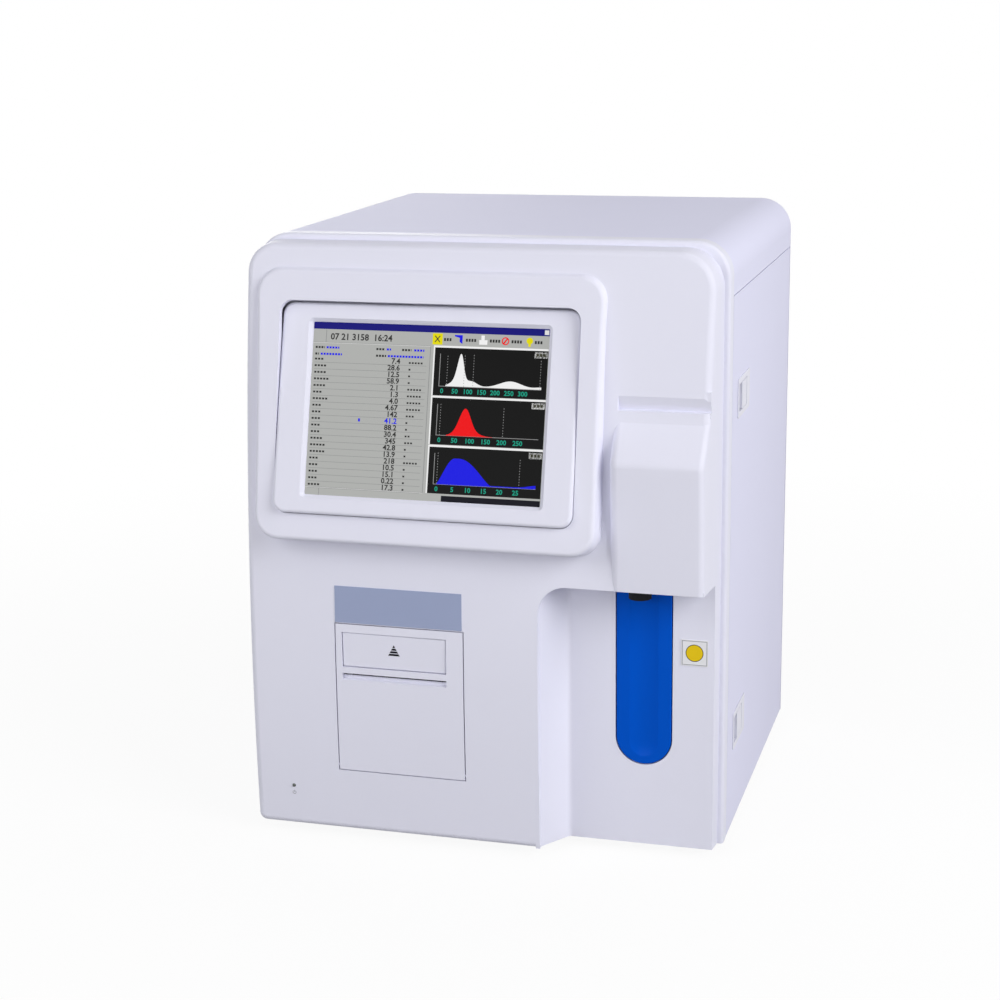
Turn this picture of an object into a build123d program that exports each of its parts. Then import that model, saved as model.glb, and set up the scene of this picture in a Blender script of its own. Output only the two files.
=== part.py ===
"""Benchtop blood cell analyser: sheet metal cabinet, moulded front, fluidics behind a side door.

Millimetres, +Z up, +X to the right of a user who faces the front, +Y towards the back.
The model is drawn from a datum at the cabinet's lower edge and its seam with the front
moulding, and moved at the end so that the origin is under the middle of the whole machine.
"""
from build123d import *
import math
import os

# Cabinet
CAB_W, CAB_D, CAB_H = 340.0, 277.0, 432.0
SHEET = 1.5
SHOULDER_R = 24.0
SEAM_Z = CAB_H - 38.0
FOOT_H, FOOT_R, FOOT_PIN_R, FOOT_INSET = 6.0, 10.0, 2.2, 36.0
BODY_MID_Y = 110.907
HALF_W = CAB_W / 2

# Front moulding
WALL = 3.0
RIM_DEPTH, RIM_STEP, RIM_ROUND = 13.5, 2.9, 2.5
BLOCK_TOP = CAB_H - RIM_STEP
BLOCK_R, BLOCK_LEFT_R, BLOCK_FOOT_R = SHOULDER_R + 2.0, SHOULDER_R - 4.0, 6.0
DRAFT, FOOT_DRAFT, BLOCK_DEPTH = 5.1, 1.5, 90.0
FRONT_REACH, FRONT_R, FRONT_Z = 59.5, 1950.0, 98.0
FRONT_ROUND = 5.0
CHASSIS_Y = 3.0

# Nose over the sample bay
NOSE_X = HALF_W - 73.0
NOSE_BOTTOM = 197.0
SHELF_TOP, SHELF_Y = CAB_H - 110.5, -42.8
NOSE_TIP_Z, NOSE_TIP_Y = CAB_H - 145.0, -62.6
NOSE_FOOT_Y = -57.8

# Sample bay
BAY_X, BAY_SLOPE_X, BAY_Y = HALF_W - 124.2, HALF_W - 109.5, -27.8
BAY_CORNER_R = 20.0

# Screen
SURROUND_W, SURROUND_H, SURROUND_R = 216.0, 148.0, 9.0
RING_LEFT, RING_RIGHT, RING_BELOW, RING_ABOVE = 17.4, 14.9, 17.5, 19.5
RING_X0 = -HALF_W + 10.3
SURROUND_X = RING_X0 + RING_LEFT + SURROUND_W / 2
RING_X1 = SURROUND_X + SURROUND_W / 2 + RING_RIGHT
RING_LOWER_LEFT = 3.2
SURROUND_Y, SURROUND_Z, SURROUND_TILT = -55.6, CAB_H - 116.5, 15.0
RING_Z0, RING_Z1 = SURROUND_Z - SURROUND_H / 2 - RING_BELOW, SURROUND_Z + SURROUND_H / 2 + RING_ABOVE
RING_TOP_Y, RING_TILT = -38.0, 10.9
RING_R, RING_BACK_Y, RING_BASE_R = 17.0, -34.0, 19.0
RING_BASE_X0, RING_BASE_X1 = RING_X0 - 2.3, RING_X1 + 4.4
RING_BASE_Z0, RING_BASE_Z1 = RING_Z0 - 10.0, RING_Z1 + 2.0
SURROUND_T = 9.0
LCD_W, LCD_H, LCD_DEPTH, LCD_T = 170.9, 121.0, 4.0, 5.0
LCD_RIM = 7.0
GAP = 0.4

LABEL_Z0, LABEL_Z1, LABEL_T = 160.8, 187.5, 0.4
STICKER_X0, STICKER_X1, STICKER_Z0, STICKER_Z1 = HALF_W - 28.8, HALF_W - 9.8, 137.6, 156.6
LAMP_X, LAMP_Y, LAMP_Z, LAMP_R = -HALF_W + 29.9, -59.0, 32.6, 1.4

# Printer
DOOR_X0, DOOR_X1, DOOR_Z0, DOOR_Z1 = -HALF_W + 66.5, -HALF_W + 161.3, 49.0, 159.4
DOOR_T, DOOR_GAP = 3.0, 0.8
PAD_X0, PAD_X1, PAD_Z0, PAD_Z1 = DOOR_X0 + 4.5, DOOR_X1 - 12.3, 127.5, 153.5
SLOT_Z, SLOT_H = 121.5, 3.0
DOOR_AXIS_Y, DOOR_AXIS_Z, DOOR_PIN_R = -57.3, 52.3, 1.2
PLATEN_R, PLATEN_Y, PLATEN_Z, PLATEN_SHAFT_R = 4.5, -48.0, 115.0, 2.0
PLATEN_EARS, EAR_T = (DOOR_X0 + 5.5, DOOR_X1 - 7.8), 2.5
HEAD_X0, HEAD_X1 = DOOR_X0 + 11.5, DOOR_X1 - 11.3
ROLL_R, ROLL_CORE_R, ROLL_W, ROLL_X, ROLL_Y, ROLL_Z = 24.0, 6.0, 57.0, DOOR_X0 + 47.5, -15.0, 80.0
PRINTER_BACK, PRINTER_WALL = 22.0, 2.4

# Aspirate key and probe
KEY_X, KEY_W, KEY_Z0, KEY_Z1, KEY_T = HALF_W - 55.1, 39.3, 61.8, NOSE_BOTTOM + 9.0, 4.0
GROOVE_R, GROOVE_DEPTH = 34.0, 1.6
STEM_Z, STEM_R, STEM_L, GUIDE_Y = 120.0, 4.0, 18.0, -15.0
SPRING_R, WIRE_R = 6.0, 0.6
WIPER_R, WIPER_Z0 = 8.0, NOSE_BOTTOM - 8.0
PROBE_Y, PROBE_R = -42.0, 0.9
PROBE_TIP, PROBE_TOP = NOSE_BOTTOM - 10.0, CAB_H - 127.0
ROD_Y, ROD_R, ROD_DX = -8.0, 3.0, 12.0
ROD_Z0, ROD_Z1 = NOSE_BOTTOM + 6.0, CAB_H - 108.0
CARRIAGE_Z0, CARRIAGE_Z1 = PROBE_TOP - 19.0, PROBE_TOP - 5.0
PULLEY_X, PULLEY_R, PULLEY_Z0, PULLEY_Z1 = HALF_W - 26.0, 9.0, NOSE_BOTTOM + 19.0, PROBE_TOP + 7.0
BELT_GAP, BELT_T = 0.3, 1.2
PULLEY_Y0, PULLEY_Y1 = -9.0, -2.5
RUN = 0.05

# Side door, hinge and latches
HINGE_X, HINGE_Y, HINGE_R = HALF_W - 4.0, CAB_D - 7.0, 2.0
SIDE_Y0, SIDE_Y1, SIDE_Z0, SIDE_Z1 = 0.8, CAB_D - 3.6, 0.6, SEAM_Z - 0.8
LUG_Z, LUG_H, BRACKET_T, PIN_L = (13.0, SEAM_Z - 20.0), 6.0, 4.0, 9.0
LATCH_Y0, LATCH_Y1, LATCH_H = 22.0, 71.0, 28.0
LATCH_Z = (CAB_H - 114.0, 72.0)
LATCH_PROUD, LATCH_DEPTH, PADDLE_X, PADDLE_Y = 0.7, 7.0, HALF_W - 1.2, LATCH_Y1 - 13.4

# Inner plates
PARTITION_X, PLATE, BOARD_GAP = 20.0, 1.5, 8.0

# Syringe drive
SYR_X, SYR_Y, SYR_PITCH = 48.0, 85.0, 25.0
SYR_FLANGE_Z0, SYR_FLANGE_Z1, SYR_FLANGE_T = 58.0, 152.0, 3.0
BARREL_R, BARREL_BORE, BARREL_L = 9.0, 6.5, 84.0
SCREW_R, YOKE_Z, YOKE_T = 4.0, 72.0, 10.0
PISTON_Z, PISTON_T = 160.0, 8.0
SYR_PAIR = (SYR_Y - SYR_PITCH, SYR_Y + SYR_PITCH)

# Baths, valves, pump and jar
BATH_X, BATH_Y, BATH_Z, BATH_R, BATH_NECK_R = 56.0, (170.0, 222.0), 200.0, 16.0, 8.0
VALVE_Y0, VALVE_PITCH, VALVE_Z, VALVE_COUNT = 56.0, 30.0, CAB_H - 82.0, 7
PUMP_Y, PUMP_Z, PUMP_R, PUMP_T = 85.0, CAB_H - 142.0, 28.0, 18.0
JAR_X, JAR_Y, JAR_R = 66.0, 205.0, 30.0

# Fan and rear openings
FAN_X, FAN_Z, FAN_SIZE, FAN_T = -HALF_W + 75.0, CAB_H - 132.0, 80.0, 25.0
FAN_R, HUB_R = 37.0, 17.0
INLET_X, INLET_Z = -HALF_W + 50.0, 60.0
INLET_W, INLET_H = 28.0, 48.0
ROCKER_Y, ROCKER_Z, ROCKER_TIP, ROCKER_ROOM = CAB_D - 2.0, 73.0, 16.0, 8.0
PORT_X, PORT_Z, PORT_PITCH, PORT_COUNT = HALF_W - 110.0, 60.0, 24.0, 4
PORT_NECK_R, PORT_NUT, PORT_R, PORT_L = 5.0, 5.0, 3.0, 14.0
DATA_Z = 150.0
DATA_PORTS = ((-HALF_W + 40.0, 32.0, 13.0), (-HALF_W + 78.0, 32.0, 13.0), (-HALF_W + 112.0, 14.0, 16.0))
EARTH_X, EARTH_Z = -HALF_W + 95.0, 48.0

REAR = CAB_D - SHEET
FEET = [(x, y) for x in (-HALF_W + FOOT_INSET, HALF_W - FOOT_INSET) for y in (FOOT_INSET, CAB_D - FOOT_INSET)]


def block(x0, x1, y0, y1, z0, z1):
    """Box between two corners."""
    return Pos((x0 + x1) / 2, (y0 + y1) / 2, (z0 + z1) / 2) * Box(x1 - x0, y1 - y0, z1 - z0)


def rod(axis, x, y, z, r, length):
    """Cylinder of a given length that starts at (x, y, z) and runs along +X, +Y or +Z."""
    turn = {"x": Rot(0, 90, 0), "y": Rot(-90, 0, 0), "z": Rot(0, 0, 0)}[axis]
    return Pos(x, y, z) * turn * Cylinder(r, length, align=(Align.CENTER, Align.CENTER, Align.MIN))


def cabinet_outline(inset, top, radius, bottom=0.0):
    """Front view of the cabinet: square below, round shoulders above."""
    half = HALF_W - inset
    sheet = Pos(0, (top + bottom) / 2) * Rectangle(2 * half, top - bottom)
    return fillet(sheet.vertices().group_by(Axis.Y)[-1], radius)


def bowed_front(reach_in=0.0):
    """Large cylinder whose surface is the gently bowed front, from top to bottom."""
    middle = Pos(0, FRONT_R - FRONT_REACH, FRONT_Z)
    return middle * Rot(0, 90, 0) * Cylinder(FRONT_R - reach_in, 2 * CAB_W)


def side_profile(points, x0, x1, radii=None):
    """Prism along X from a (y, z) outline, with some of its corners rounded."""
    outline = make_face(Polyline(*points, close=True))
    for (y, z), r in (radii or {}).items():
        corner = outline.vertices().sort_by_distance((y, z, 0))[0]
        outline = fillet(corner, r)
    plane = Plane(origin=(x0, 0, 0), x_dir=(0, 1, 0), z_dir=(1, 0, 0))
    return extrude(plane * outline, x1 - x0)


def front_edges(solid):
    """Edges round the bowed front face."""
    faces = [f for f in solid.faces() if f.geom_type == GeomType.CYLINDER and f.radius > FRONT_R / 2]
    return ShapeList(faces).edges()


def block_outline(depth, inset):
    """Front view of the block at a depth before the seam: upright at the left, drafted elsewhere."""
    lean = depth * math.tan(math.radians(DRAFT))
    left, right = -HALF_W + inset, HALF_W - RIM_STEP - lean - inset
    foot = inset + depth * math.tan(math.radians(FOOT_DRAFT))
    top = BLOCK_TOP - lean - inset
    face = make_face(Polyline((left, foot), (right, foot), (right, top), (left, top), close=True))
    face = fillet(face.vertices().sort_by_distance((right, top, 0))[0], BLOCK_R - inset)
    face = fillet(face.vertices().sort_by_distance((left, top, 0))[0], BLOCK_LEFT_R - inset)
    face = fillet(face.vertices().sort_by_distance((left, foot, 0))[0], BLOCK_FOOT_R - inset)
    return Pos(0, -depth, 0) * (Plane.XZ * face)


def drafted_block(inset, start=RIM_DEPTH / 2):
    """Front block before the bowed front cuts it off: a ruled loft from inside the rim forwards."""
    return loft([block_outline(start, inset), block_outline(BLOCK_DEPTH, inset)], ruled=True)


def nose_points(inset):
    """Side view of the nose: a shelf that faces up, a round tip and a face that falls back."""
    return [
        (BAY_Y + 8, SHELF_TOP - inset), (SHELF_Y + inset, SHELF_TOP - inset),
        (NOSE_TIP_Y + inset, NOSE_TIP_Z), (NOSE_FOOT_Y + inset, NOSE_BOTTOM + inset),
        (BAY_Y + 8, NOSE_BOTTOM + inset),
    ]


def bay_solid(grow):
    """Space of the sample bay, or of its walls when grown: open in front, below and at the right."""
    plan = make_face(Polyline(
        (BAY_X - grow, -90), (BAY_X - grow, -52), (BAY_SLOPE_X - grow, BAY_Y + grow),
        (HALF_W + 20, BAY_Y + grow), (HALF_W + 20, -90), close=True))
    plan = fillet(plan.vertices().sort_by_distance((BAY_SLOPE_X - grow, BAY_Y + grow, 0))[0], 4)
    column = Pos(0, 0, -10) * extrude(plan, NOSE_BOTTOM + grow + 10)
    front_view = Pos(110, (NOSE_BOTTOM + grow) / 2 - 10) * Rectangle(
        2 * (110 - BAY_X + grow), NOSE_BOTTOM + grow + 20)
    corner = front_view.vertices().group_by(Axis.X)[0].sort_by(Axis.Y)[-1]
    front_view = fillet(corner, BAY_CORNER_R + grow)
    return column & extrude(Plane.XZ * front_view, 120, both=True)


def ring_plane(back=0.0):
    """Plane of the screen ring's face, tilted to look slightly up."""
    t = math.radians(RING_TILT)
    mid_z = (RING_Z0 + RING_Z1) / 2
    mid_y = RING_TOP_Y - (RING_Z1 - mid_z) * math.tan(t)
    normal = Vector(0, -math.cos(t), math.sin(t))
    origin = Vector((RING_X0 + RING_X1) / 2, mid_y, mid_z) - normal * back
    return Plane(origin=origin, x_dir=(1, 0, 0), z_dir=normal)


def surround_plane(back=0.0):
    """Plane of the inner surround's face, tilted a little more than the ring."""
    t = math.radians(SURROUND_TILT)
    normal = Vector(0, -math.cos(t), math.sin(t))
    origin = Vector(SURROUND_X, SURROUND_Y, SURROUND_Z) - normal * back
    return Plane(origin=origin, x_dir=(1, 0, 0), z_dir=normal)


def tilted_slab(width, height, radius, front, back):
    """Rounded slab parallel to the inner surround, between two depths behind its face."""
    face = surround_plane(front) * RectangleRounded(width, height, radius)
    return extrude(face, -(back - front))


def front_cover():
    """Moulded front: rim, drafted and bowed block, nose, bay walls and the openings."""
    rim = extrude(Plane.XZ * cabinet_outline(0, CAB_H, SHOULDER_R), RIM_DEPTH)
    rim_front = rim.faces().sort_by(Axis.Y)[0].edges()
    rim = fillet([e for e in rim_front if e.center().Z > 1], RIM_ROUND)
    body = drafted_block(0) & bowed_front()
    body = fillet(front_edges(body), FRONT_ROUND)
    nose = side_profile(nose_points(0), NOSE_X, HALF_W, {(NOSE_TIP_Y, NOSE_TIP_Z): 8})
    left_edges = [e for e in nose.faces().sort_by(Axis.X)[0].edges() if e.center().Y < SHELF_Y]
    nose = fillet(left_edges, 6) & drafted_block(0)
    right_edges = [e for e in nose.faces().sort_by(Axis.X)[-1].edges() if e.center().Y < SHELF_Y]
    nose = fillet(right_edges, 4)
    backing = block(NOSE_X, HALF_W, SHELF_Y - 2.2, SHELF_Y + WALL, SHELF_TOP - 4, SHELF_TOP + 14)
    backing &= drafted_block(0)
    shadow_gap = side_profile(
        [(SHELF_Y, SHELF_TOP), (-70, SHELF_TOP - 4), (-70, SHELF_TOP + 12), (-46, SHELF_TOP + 11)],
        NOSE_X + 3, HALF_W)
    hollow = drafted_block(WALL, 0) & bowed_front(WALL)
    nose_hollow = side_profile(nose_points(WALL), NOSE_X + WALL, HALF_W) & drafted_block(WALL)
    rim_outline = cabinet_outline(WALL, CAB_H - WALL, SHOULDER_R - WALL, WALL)
    rim_hollow = Pos(0, 1, 0) * extrude(Plane.XZ * rim_outline, 6)
    body = (body - hollow) + backing - shadow_gap + (nose - hollow) + (rim - hollow - rim_hollow)
    body -= nose_hollow
    bay_walls = bay_solid(WALL) & drafted_block(0) & bowed_front()
    bay_walls -= block(-HALF_W, HALF_W, -100, 10, -20, 0)
    body = body + bay_walls - bay_solid(0)
    body -= block(DOOR_X0 - DOOR_GAP, DOOR_X1 + DOOR_GAP, -80, -40, DOOR_Z0 - DOOR_GAP, DOOR_Z1 + DOOR_GAP)
    body -= rod("x", DOOR_X0 - 3.6, DOOR_AXIS_Y, DOOR_AXIS_Z, DOOR_PIN_R + RUN, DOOR_X1 - DOOR_X0 + 7.2)
    body -= extrude(ring_plane() * RectangleRounded(
        RING_X1 - RING_X0 - 14, RING_Z1 - RING_Z0 - 14, RING_R - 6), 60, both=True)
    body -= key_shape(DOOR_GAP, -8, 8)
    body -= rod("z", KEY_X, PROBE_Y, NOSE_BOTTOM - 5, WIPER_R + GAP, 20)
    body -= rod("y", LAMP_X, -70, LAMP_Z, LAMP_R, 40)
    return body


def key_shape(grow, y0, y1):
    """Long plate with a round lower end, between two depths from the bay's back wall."""
    r = KEY_W / 2 + grow
    low = KEY_Z0 - grow + r
    high = KEY_Z1 + grow
    front_view = Pos(0, (low + high) / 2) * Rectangle(2 * r, high - low) + Pos(0, low) * Circle(r)
    return Pos(KEY_X, BAY_Y + y1, 0) * extrude(Plane.XZ * front_view, y1 - y0)


def screen_ring():
    """Outer frame of the screen: splayed down to the front, with a sleeve for the surround."""
    height = (RING_Z1 - RING_Z0) / math.cos(math.radians(RING_TILT))
    half_w, half_h = (RING_X1 - RING_X0) / 2, height / 2
    corners = [(-half_w + RING_LOWER_LEFT, -half_h), (half_w, -half_h), (half_w, half_h), (-half_w, half_h)]
    outline = make_face(Polyline(*corners, close=True))
    face = ring_plane() * fillet(outline.vertices(), RING_R)
    base_w, base_h = RING_BASE_X1 - RING_BASE_X0, RING_BASE_Z1 - RING_BASE_Z0
    base_mid = ((RING_BASE_X0 + RING_BASE_X1) / 2, RING_BACK_Y, (RING_BASE_Z0 + RING_BASE_Z1) / 2)
    base_plane = Plane(origin=base_mid, x_dir=(1, 0, 0), z_dir=(0, -1, 0))
    ring = loft([face, base_plane * RectangleRounded(base_w, base_h, RING_BASE_R)], ruled=True)
    front = ring.faces().sort_by(Axis(origin=(0, 0, 0), direction=ring_plane().z_dir))[-1]
    ring = fillet(front.edges(), 3)
    ring = ring - bowed_front()
    sleeve = tilted_slab(SURROUND_W + 2 * GAP + 5, SURROUND_H + 2 * GAP + 5, SURROUND_R + 3, 6, 26)
    sleeve -= tilted_slab(SURROUND_W + 30, SURROUND_H + 30, SURROUND_R + 3, -20, 6)
    opening = tilted_slab(SURROUND_W + 2 * GAP, SURROUND_H + 2 * GAP, SURROUND_R + GAP, -30, 60)
    return ring + (sleeve - opening) - opening


def screen_surround():
    """Inner frame round the display, with a chamfered window and a pocket behind it."""
    plate = tilted_slab(SURROUND_W, SURROUND_H, SURROUND_R, 0, SURROUND_T)
    outward = Axis(origin=(0, 0, 0), direction=surround_plane().z_dir)
    plate = fillet(plate.faces().sort_by(outward)[-1].edges(), 2.5)
    plate -= tilted_slab(LCD_W, LCD_H, 1, -5, SURROUND_T + 5)
    rim = plate.faces().sort_by(outward)[-1].inner_wires()[0].edges()
    plate = chamfer(rim, 2.5)
    return plate - tilted_slab(LCD_W + 2 * LCD_RIM, LCD_H + 2 * LCD_RIM, 1, LCD_DEPTH, SURROUND_T + 5)


def display_panel():
    """Flat panel display, its active face behind the window."""
    return tilted_slab(LCD_W + 2 * LCD_RIM, LCD_H + 2 * LCD_RIM, 1, LCD_DEPTH, SURROUND_T)


def label_plate():
    """Bare label above the printer door, laid on the bowed front."""
    area = block(DOOR_X0, DOOR_X1 - 0.6, -70, -40, LABEL_Z0, LABEL_Z1)
    return area & bowed_front(-LABEL_T) - bowed_front()


def bay_sticker():
    """Small square sticker on the bay's back wall."""
    return block(STICKER_X0, STICKER_X1, BAY_Y - LABEL_T, BAY_Y, STICKER_Z0, STICKER_Z1)


def power_lamp():
    """Indicator lens: a short rod with a round end."""
    lens = rod("y", LAMP_X, LAMP_Y, LAMP_Z, LAMP_R, 8)
    return fillet(lens.faces().sort_by(Axis.Y)[0].edges(), 0.6)


def printer_housing():
    """Open-fronted box behind the printer door, with a cradle for the paper roll."""
    x0, x1 = DOOR_X0 - DOOR_GAP, DOOR_X1 + DOOR_GAP
    z0, z1 = DOOR_Z0 - DOOR_GAP, DOOR_Z1 + DOOR_GAP
    w = PRINTER_WALL
    box = block(x0 - w, x1 + w, -70, PRINTER_BACK, z0 - w, z1 + w)
    box -= block(x0, x1, -80, PRINTER_BACK - w, z0, z1)
    for x in (ROLL_X - 20, ROLL_X + 17):
        rib = block(x, x + 3, ROLL_Y - 20, ROLL_Y + 20, z0, ROLL_Z - 12)
        box += rib - rod("x", x - 1, ROLL_Y, ROLL_Z, ROLL_R, 5)
    box &= bowed_front(WALL)
    return box


def printer_door():
    """Printer door: follows the bowed front, with a pad recess, a paper slot and roller ears."""
    panel = block(DOOR_X0, DOOR_X1, -70, -50, DOOR_Z0, DOOR_Z1)
    door = panel & bowed_front() - bowed_front(DOOR_T)
    door -= block(PAD_X0, PAD_X1, -70, -50, PAD_Z0, PAD_Z1)
    slot = side_profile(
        [(-62, SLOT_Z - SLOT_H / 2 - 2.4), (-62, SLOT_Z + SLOT_H / 2), (-50, SLOT_Z + SLOT_H / 2),
         (-50, SLOT_Z - SLOT_H / 2)], PAD_X0, PAD_X1)
    door -= slot
    ledge = block(PAD_X0 - 1.5, PAD_X1 + 1.5, -57, -53.6, PAD_Z0 - 1.5, PAD_Z1 + 1.5)
    ledge -= block(PAD_X0, PAD_X1, -60, -55, PAD_Z0, PAD_Z1)
    door += ledge - block(PAD_X0 + 2, PAD_X1 - 2, -60, -50, PAD_Z0 + 2, PAD_Z1 - 2)
    for x in PLATEN_EARS:
        ear = block(x, x + EAR_T, -57, PLATEN_Y + 4, PLATEN_Z - 5, PLATEN_Z + 5)
        door += fillet(ear.edges().filter_by(Axis.X).group_by(Axis.Y)[-1], 3)
    door -= rod("x", DOOR_X0, PLATEN_Y, PLATEN_Z, PLATEN_SHAFT_R + RUN, DOOR_X1 - DOOR_X0)
    door += rod("x", DOOR_X0 - 3.2, DOOR_AXIS_Y, DOOR_AXIS_Z, DOOR_PIN_R, 4)
    door += rod("x", DOOR_X1 - 0.8, DOOR_AXIS_Y, DOOR_AXIS_Z, DOOR_PIN_R, 4)
    return door


def release_button():
    """Wide thumb pad set back in the printer door, which slides in."""
    pad = block(PAD_X0 + 0.5, PAD_X1 - 0.5, -58.2, -56.75, PAD_Z0 + 0.5, PAD_Z1 - 0.5)
    pad = fillet(pad.faces().sort_by(Axis.Y)[0].edges(), 0.6)
    return pad + block(PAD_X0 + 3, PAD_X1 - 3, -56.75, -54.2, PAD_Z0 + 3, PAD_Z1 - 3)


def platen_roller():
    """Rubber roller that feeds the paper, moulded on its shaft."""
    x0, x1 = PLATEN_EARS[0] + EAR_T + 1, PLATEN_EARS[1] - 1
    sleeve = rod("x", x0, PLATEN_Y, PLATEN_Z, PLATEN_R, x1 - x0)
    return sleeve + rod("x", x0 - EAR_T - 2, PLATEN_Y, PLATEN_Z, PLATEN_SHAFT_R, x1 - x0 + 2 * EAR_T + 4)


def print_head():
    """Thermal head bar behind the roller, on a bridge across the housing."""
    y0 = PLATEN_Y + PLATEN_R + 0.4
    x0, x1 = DOOR_X0 - DOOR_GAP, DOOR_X1 + DOOR_GAP
    bar = block(HEAD_X0, HEAD_X1, y0, y0 + 5, PLATEN_Z - 7, 132)
    bar += block(HEAD_X0, HEAD_X1, y0 + 5, y0 + 12, 124, 132)
    bridge = block(x0, x1, y0, -16, 132, 133.5)
    for x in (x0, x1 - 1.5):
        bridge += block(x, x + 1.5, y0, -16, 133.5, 146)
    return bar + bridge


def paper_roll():
    """Roll of thermal paper on its core hole."""
    roll = rod("x", ROLL_X - ROLL_W / 2, ROLL_Y, ROLL_Z, ROLL_R, ROLL_W)
    return roll - rod("x", ROLL_X - ROLL_W / 2 - 1, ROLL_Y, ROLL_Z, ROLL_CORE_R, ROLL_W + 2)


def aspirate_key():
    """Blue start key: a long plate with a shallow groove, and a guide stem behind it."""
    key = key_shape(0, -0.6, KEY_T - 0.6)
    key = fillet(key.faces().sort_by(Axis.Y)[0].edges(), 0.8)
    groove_y = BAY_Y - 0.6 - GROOVE_R + GROOVE_DEPTH
    low = KEY_Z0 + 16
    groove = rod("z", KEY_X, groove_y, low, GROOVE_R, KEY_Z1 - low + 5)
    groove += Pos(KEY_X, groove_y, low) * Sphere(GROOVE_R)
    key -= groove
    key += rod("y", KEY_X, BAY_Y + KEY_T - 0.7, STEM_Z, STEM_R, STEM_L)
    return key + block(KEY_X - 6, KEY_X + 6, BAY_Y + KEY_T - 0.7, BAY_Y + KEY_T + 5, 82, 88)


def key_guide():
    """Block on the chassis with the bore for the key's stem, and the switch below it."""
    guide = block(KEY_X - 10, KEY_X + 10, GUIDE_Y, CHASSIS_Y, STEM_Z - 10, STEM_Z + 10)
    guide = fillet(guide.edges().filter_by(Axis.Y), 3)
    guide -= rod("y", KEY_X, GUIDE_Y - 1, STEM_Z, STEM_R + RUN, 30)
    guide += block(KEY_X - 4, KEY_X + 4, -4, CHASSIS_Y, 90, STEM_Z - 9)
    guide += block(KEY_X - 10, KEY_X + 10, -14.5, CHASSIS_Y, 78, 92)
    return guide + block(KEY_X - 1.5, KEY_X + 1.5, -15.4, -14.5, 83.5, 86.5)


def key_spring():
    """Return spring of the key, wound round the stem."""
    y0 = BAY_Y + KEY_T - 0.6 + WIRE_R
    height = GUIDE_Y - WIRE_R - y0
    coil = Helix(height / 3.5, height, SPRING_R)
    section = Plane(origin=coil @ 0, z_dir=coil % 0) * Circle(WIRE_R)
    return Pos(KEY_X, y0, STEM_Z) * Rot(-90, 0, 0) * sweep(section, path=coil, is_frenet=True)


def probe_wiper():
    """Black rinse collar round the probe, flanged on the nose's floor."""
    floor = NOSE_BOTTOM + WALL
    collar = rod("z", KEY_X, PROBE_Y, WIPER_Z0, WIPER_R, floor + 12 - WIPER_Z0)
    collar += rod("z", KEY_X, PROBE_Y, floor, WIPER_R + 2.6, 2.5)
    collar += rod("x", KEY_X - 14, PROBE_Y, floor + 7, 1.6, 8)
    return collar - rod("z", KEY_X, PROBE_Y, WIPER_Z0 - 1, PROBE_R + 0.4, 40)


def sample_probe():
    """Steel sampling tube, clamped in the carriage's arm."""
    return rod("z", KEY_X, PROBE_Y, PROBE_TIP, PROBE_R, PROBE_TOP - PROBE_TIP)


def probe_carriage():
    """Slider on two rods, with an arm for the probe and a clip for the belt."""
    middle = (CARRIAGE_Z0 + CARRIAGE_Z1) / 2
    body = block(KEY_X - ROD_DX - 6, KEY_X + ROD_DX + 6, ROD_Y - 7, ROD_Y + 6, CARRIAGE_Z0, CARRIAGE_Z1)
    body += block(KEY_X - 6, KEY_X + 6, PROBE_Y - 4, ROD_Y - 7, middle - 4, middle + 4)
    belt_x = PULLEY_X - PULLEY_R - BELT_GAP - BELT_T
    clip = block(KEY_X + ROD_DX + 6, belt_x + 3, PULLEY_Y0 - 2, PULLEY_Y1 + 1.5, middle - 4, middle + 4)
    clip -= block(
        belt_x - 0.3, belt_x + BELT_T + 0.3, PULLEY_Y0 - 0.4, PULLEY_Y1 + 0.4, middle - 5, middle + 5)
    body += clip
    for x in (KEY_X - ROD_DX, KEY_X + ROD_DX):
        body -= rod("z", x, ROD_Y, CARRIAGE_Z0 - 1, ROD_R + RUN, 20)
    return body - rod("z", KEY_X, PROBE_Y, CARRIAGE_Z0, PROBE_R, 20)


def guide_rods():
    """Two ground rods of the probe lift."""
    rods = [rod("z", x, ROD_Y, ROD_Z0, ROD_R, ROD_Z1 - ROD_Z0) for x in (KEY_X - ROD_DX, KEY_X + ROD_DX)]
    return Compound(children=rods)


def probe_bracket():
    """Bent plate on the chassis that holds the rods and the belt drive."""
    plate = block(KEY_X - 21, 160, CHASSIS_Y - PLATE, CHASSIS_Y, ROD_Z0, ROD_Z1 + 2)
    for z in (ROD_Z0, ROD_Z1 - 3):
        plate += block(KEY_X - 21, KEY_X + 19, ROD_Y - 7, CHASSIS_Y - PLATE, z, z + 3)
    for x in (KEY_X - ROD_DX, KEY_X + ROD_DX):
        plate -= rod("z", x, ROD_Y, ROD_Z0 - 1, ROD_R, ROD_Z1 - ROD_Z0 + 2)
    plate += rod("y", PULLEY_X, PULLEY_Y0 - 1.5, PULLEY_Z0, 2.5, CHASSIS_Y - PULLEY_Y0)
    return plate - rod("y", PULLEY_X, -5, PULLEY_Z1, 11, 12)


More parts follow.
